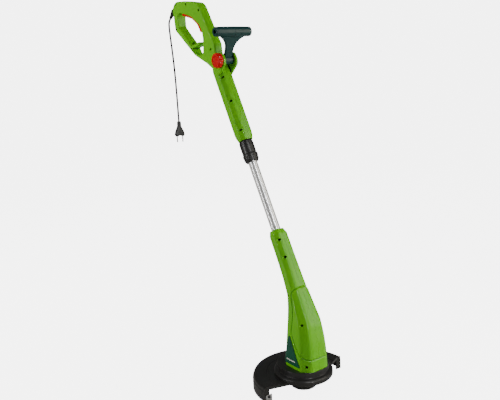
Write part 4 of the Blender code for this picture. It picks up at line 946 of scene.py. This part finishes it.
def spool_head():
    """The spool's cup, ribbed round its wall, and the bump button set in its underside."""
    bottom, top = SPOOL_BOTTOM, -0.004
    wall = SPOOL_R - 0.0025
    cup = [(0.0034, top, 0), (0.0034, top - 0.012, 0), (0.0070, top - 0.012, 0), (0.0070, top - 0.0035, 0.001),
           (wall, top - 0.0035, 0.001), (wall, bottom + 0.009, 0.004), (SPOOL_R - 0.009, bottom + 0.0025, 0.003),
           (0.0230, bottom + 0.0025, 0.0004), (0.0230, bottom, 0.0006), (SPOOL_R - 0.008, bottom, 0.006),
           (SPOOL_R, bottom + 0.010, 0.010), (SPOOL_R, top - 0.004, 0.002), (SPOOL_R - 0.004, top, 0.002)]

    def ribs(angle, radius, height):
        """FINGER_GROOVES broad grooves round the wall: a cosine that only takes away, where the wall is upright."""
        band = np.clip((height - bottom - 0.010) / 0.004, 0, 1) * np.clip((top - 0.006 - height) / 0.004, 0, 1)
        return -0.0010 * band * (radius > SPOOL_R - 0.001) * np.maximum(np.cos(FINGER_GROOVES * angle), 0) ** 2

    housing = turned("spool_cup", cup, HEAD, UP, 256, 10, ribs)
    eyelet = math.radians(20)
    way = np.array([math.cos(eyelet), math.sin(eyelet), 0])
    hole = HEAD - 0.020 * UP
    carve(housing, [rod("line_hole", hole + 0.02 * way, hole + 0.06 * way, 0.0022, 32)])
    shown(housing, BLACK, "rotor", ["spool_housing"], 40)
    button = [(0, -0.0230, 0), (0, bottom - 0.0045, 0), (0.0185, bottom - 0.0042, 0.003),
              (0.0222, bottom - 0.0005, 0.001), (0.0222, -0.0362, 0.0005), (0.0080, -0.0360, 0.0008),
              (0.0080, -0.0230, 0.0008)]
    bump = turned("bump_knob", button, HEAD, UP, 128, 10)
    slots = []
    for k in range(3):
        turn = math.tau * k / 3
        reach = np.array([math.cos(turn), math.sin(turn), 0])
        start = HEAD + (bottom - 0.0045) * UP + 0.006 * reach
        slots.append(rod(f"bump_slot_{k}", start, start + 0.009 * reach, 0.0011, 20))
    carve(bump, slots)
    shown(bump, BLACK, "bump", ["bump_button"], 40)


def cutter():
    """The line cutter's blade, its rims slightly rounded, and its screw."""
    low, high = (np.array(corner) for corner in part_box("line_cutter"))
    outline = [(low[1], low[2], 0.001), (high[1], low[2], 0.001), (high[1], high[2], 0.002),
               (low[1], high[2], 0.002)]
    thick = high[0] - low[0]
    blade = plate("cutter_blade", [rounded(outline)], thick / 2, 0.0003, 2, (low[0] + high[0]) / 2,
                  (np.zeros(3), SIDE, UP, FORWARD))
    shown(blade, STEEL, "lower", ["line_cutter"])
    low, high = (np.array(corner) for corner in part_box("cutter_screw"))
    middle = (low + high) / 2
    screw_head("blade_screw", np.array([low[0], middle[1], middle[2]]), FORWARD, 0.0030, DARK_STEEL, "lower",
               "cutter_screw", shank=0.0)


def screw_head(name, seat, axis, height, material, body, node, shank=0.0136):
    """A pan-head screw: a domed head with a cross cut in it, and a plain shank unless that is 0."""
    axis = np.array(axis, float)
    profile = [(0, height, 0), (0, -shank, 0)]
    radius = CUTTER_SCREW_R
    if shank:
        profile += [(0.0014, -shank, 0.0006), (0.0014, 0, 0)]
        radius = SCREW_R
    profile += [(radius, 0, 0.0002), (radius, height, 0.0012)]
    screw = turned(name, profile[::-1], seat, axis, 32, 15)
    u = unit(np.cross(axis, UP))
    v = np.cross(axis, u)
    bars = []
    for k, (long, wide) in enumerate(((0.0019, 0.0004), (0.0004, 0.0019))):
        outline = np.array([(-long, -wide), (long, -wide), (long, wide), (-long, wide)])
        bars.append(plate(f"{name}_bar_{k}", [outline], 0.0008, middle=height, place=(seat, u, v, axis)))
    carve(screw, bars)
    return shown(screw, material, body, [node], 40)


def screws():
    for key, (x, z) in HANDLE_SCREWS.items():
        seat = np.array([x, -SCREW_SEAT, z])
        screw_head(f"shell_screw_{key}", seat, -SIDE, SCREW_HEIGHT, DARK_STEEL, "handle", f"handle_screw_{key}")
    for key, station in SLEEVE_SCREWS.items():
        x, z = on_shaft(station, SCREW_OUT)
        seat = np.array([x, -SCREW_SEAT, z])
        screw_head(f"tube_screw_{key}", seat, -SIDE, SCREW_HEIGHT, DARK_STEEL, "handle", f"sleeve_screw_{key}")
    for key, (x, z) in HOUSING_SCREWS.items():
        seat = np.array([x, -SCREW_SEAT, z])
        screw_head(f"motor_screw_{key}", seat, -SIDE, SCREW_HEIGHT, DARK_STEEL, "lower", f"housing_screw_{key}")


STRIPE_Z, STRIPE_HALF = -0.9600, 0.0016
STRIPE_BACK, STRIPE_FRONT = 0.4520, 0.4860


def badge_marks(tree, colour):
    """A plain pale stripe along the badge's foot, made from height and length."""
    parts = tree.nodes.new("ShaderNodeSeparateXYZ")
    tree.links.new(tree.nodes.new("ShaderNodeTexCoord").outputs["Object"], parts.inputs[0])
    off = math_node(tree, "ABSOLUTE", math_node(tree, "SUBTRACT", parts.outputs["Z"], STRIPE_Z))
    stripe = math_node(tree, "LESS_THAN", off, STRIPE_HALF)
    ahead = math_node(tree, "GREATER_THAN", parts.outputs["X"], STRIPE_BACK)
    behind = math_node(tree, "LESS_THAN", parts.outputs["X"], STRIPE_FRONT)
    mask = math_node(tree, "MULTIPLY", math_node(tree, "MULTIPLY", stripe, ahead), behind)
    return mixed(tree, mask, colour, (0.75, 0.78, 0.76))


BADGE_TEAL = finish("badge_teal", (0.001, 0.090, 0.048), (0.001, 0.075, 0.040), (0.30, 0.40), dust=0.0,
                    specular=0.25, marks=badge_marks)

CAD_FINISHES = {
    STEEL: ["trigger_pin", "trigger_spring", "pivot_bolt", "motor_can", "upper_bearing", "lower_bearing",
            "armature_shaft"],
    BLACK: ["switch_body", "motor_mount", "line_spool"],
    RUBBER: ["switch_lead", "motor_lead"],
    COPPER: ["armature_core", "commutator"],
    CARBON: ["brush_right", "brush_left"],
    NYLON: ["switch_plunger", "guide_bush", "cooling_fan", "line_winding"],
}


def inner_pieces():
    """The CAD pieces whose shape stays: each takes its finish on the slots it already has."""
    for material, names in CAD_FINISHES.items():
        for name in names:
            mesh = frame["nodes"][name].data
            if not mesh.materials:
                mesh.materials.append(material)
            for k in range(len(mesh.materials)):
                mesh.materials[k] = material


# ================================================================ stage, light and camera
FLOOR_Z = float(CAD_BOX[0][2]) - 0.004
FLOOR_R, FLAT_R, RISE_SCALE = 14.0, 7.0, 6.0
FLOOR_RINGS, FLOOR_SPOKES = 60, 96
CENTRE = Vector((0.20, 0.0, -0.50))
HOUSING_MIDDLE = Vector((0.47, 0.0, -0.86))


def stage():
    """A pale floor that curves up into a backdrop far behind: height grows as the square past a radius."""
    radius = np.linspace(0, FLOOR_R, FLOOR_RINGS)[:, None]
    angle = np.linspace(0, math.tau, FLOOR_SPOKES, endpoint=False)[None]
    rise = np.maximum(radius - FLAT_R, 0) ** 2 / RISE_SCALE
    points = np.stack([CENTRE[0] + radius * np.cos(angle), radius * np.sin(angle),
                       FLOOR_Z + rise + 0 * angle], -1)
    floor = make("studio_floor", points, quads(FLOOR_RINGS, FLOOR_SPOKES).tolist())
    floor.data.shade_smooth()
    if floor.data.polygons[0].normal.z < 0:
        floor.data.flip_normals()
    pale = bpy.data.materials.new("pale_floor")
    pale.use_nodes = True
    shader = pale.node_tree.nodes["Principled BSDF"]
    tree = pale.node_tree
    shader.inputs["Base Color"].default_value = (0.45, 0.45, 0.45, 1)
    shader.inputs["Roughness"].default_value = 0.9
    shader.inputs["Emission Color"].default_value = (1, 1, 1, 1)
    seen = tree.nodes.new("ShaderNodeLightPath").outputs["Is Camera Ray"]
    tree.links.new(ranged(tree, seen, 0.05, 5.5), shader.inputs["Emission Strength"])
    floor.data.materials.append(pale)


def softbox(name, azimuth, elevation, distance, size, power, color=(1, 1, 1), mirrored=False, diffuse=True,
            aim=CENTRE):
    """A rectangular light, seen in gloss if mirrored, lighting surfaces if diffuse, hidden from the camera."""
    a, e = math.radians(azimuth), math.radians(elevation)
    away = Vector((math.sin(a) * math.cos(e), -math.cos(a) * math.cos(e), math.sin(e)))
    data = bpy.data.lights.new(name, "AREA")
    data.shape = "RECTANGLE"
    data.size, data.size_y = size
    data.energy = power
    data.color = color
    light = bpy.data.objects.new(name, data)
    light.location = aim + away * distance
    light.rotation_euler = (-away).to_track_quat("-Z", "Y").to_euler()
    light.visible_camera = False
    light.visible_glossy = mirrored
    light.visible_diffuse = diffuse
    bpy.context.scene.collection.objects.link(light)


def lights():
    """Broad lights either side, one near the head, and narrow strips that draw lines in the gloss."""
    warm = (1.0, 0.95, 0.82)
    softbox("key_left", -38, 18, 2.4, (1.0, 2.4), 46, warm)
    softbox("fill_right", 130, 14, 2.4, (0.9, 2.4), 26, warm, mirrored=True)
    softbox("low_right", 122, 16, 1.3, (0.5, 0.8), 9, warm, aim=HOUSING_MIDDLE)
    softbox("strip_right", 80, 20, 2.6, (0.08, 2.5), 60, mirrored=True, diffuse=False)
    softbox("strip_left", -9, 16, 2.6, (0.06, 2.4), 34, mirrored=True, diffuse=False)
    softbox("top", 60, 80, 2.6, (1.6, 1.6), 14)
    softbox("back", -125, 30, 2.6, (1.2, 2.0), 20)
    world = bpy.data.worlds.new("studio")
    bpy.context.scene.world = world
    world.use_nodes = True
    background = world.node_tree.nodes["Background"]
    background.inputs["Color"].default_value = (1, 1, 1, 1)
    background.inputs["Strength"].default_value = 0.10


def camera():
    """Stands ahead and to the right of the tool, looking back and slightly down at it."""
    azimuth, elevation, roll = math.radians(53.5), math.radians(12.6), math.radians(2.7)
    back = Vector((math.sin(azimuth) * math.cos(elevation), -math.cos(azimuth) * math.cos(elevation),
                   math.sin(elevation)))
    right = Vector((math.cos(azimuth), math.sin(azimuth), 0))
    up = back.cross(right)
    across = right * math.cos(roll) - up * math.sin(roll)
    upright = right * math.sin(roll) + up * math.cos(roll)
    data = bpy.data.cameras.new("camera")
    data.sensor_width = 36
    data.lens = 44.64
    view = bpy.data.objects.new("camera", data)
    view.location = (1.6605, -1.0439, -0.1627)
    view.rotation_euler = Matrix((across, upright, back)).transposed().to_euler()
    bpy.context.scene.collection.objects.link(view)
    bpy.context.scene.camera = view


stage()
lights()
camera()
LEAD, LEAD_EXIT, LEAD_LENGTH = cord()
strain_relief()
PLUG_PIECES = plug()
handle_shells()
trigger()
front_handle()
knob()
collar()
tube()
motor_housing()
badges()
guard()
spool_head()
cutter()
screws()
inner_pieces()
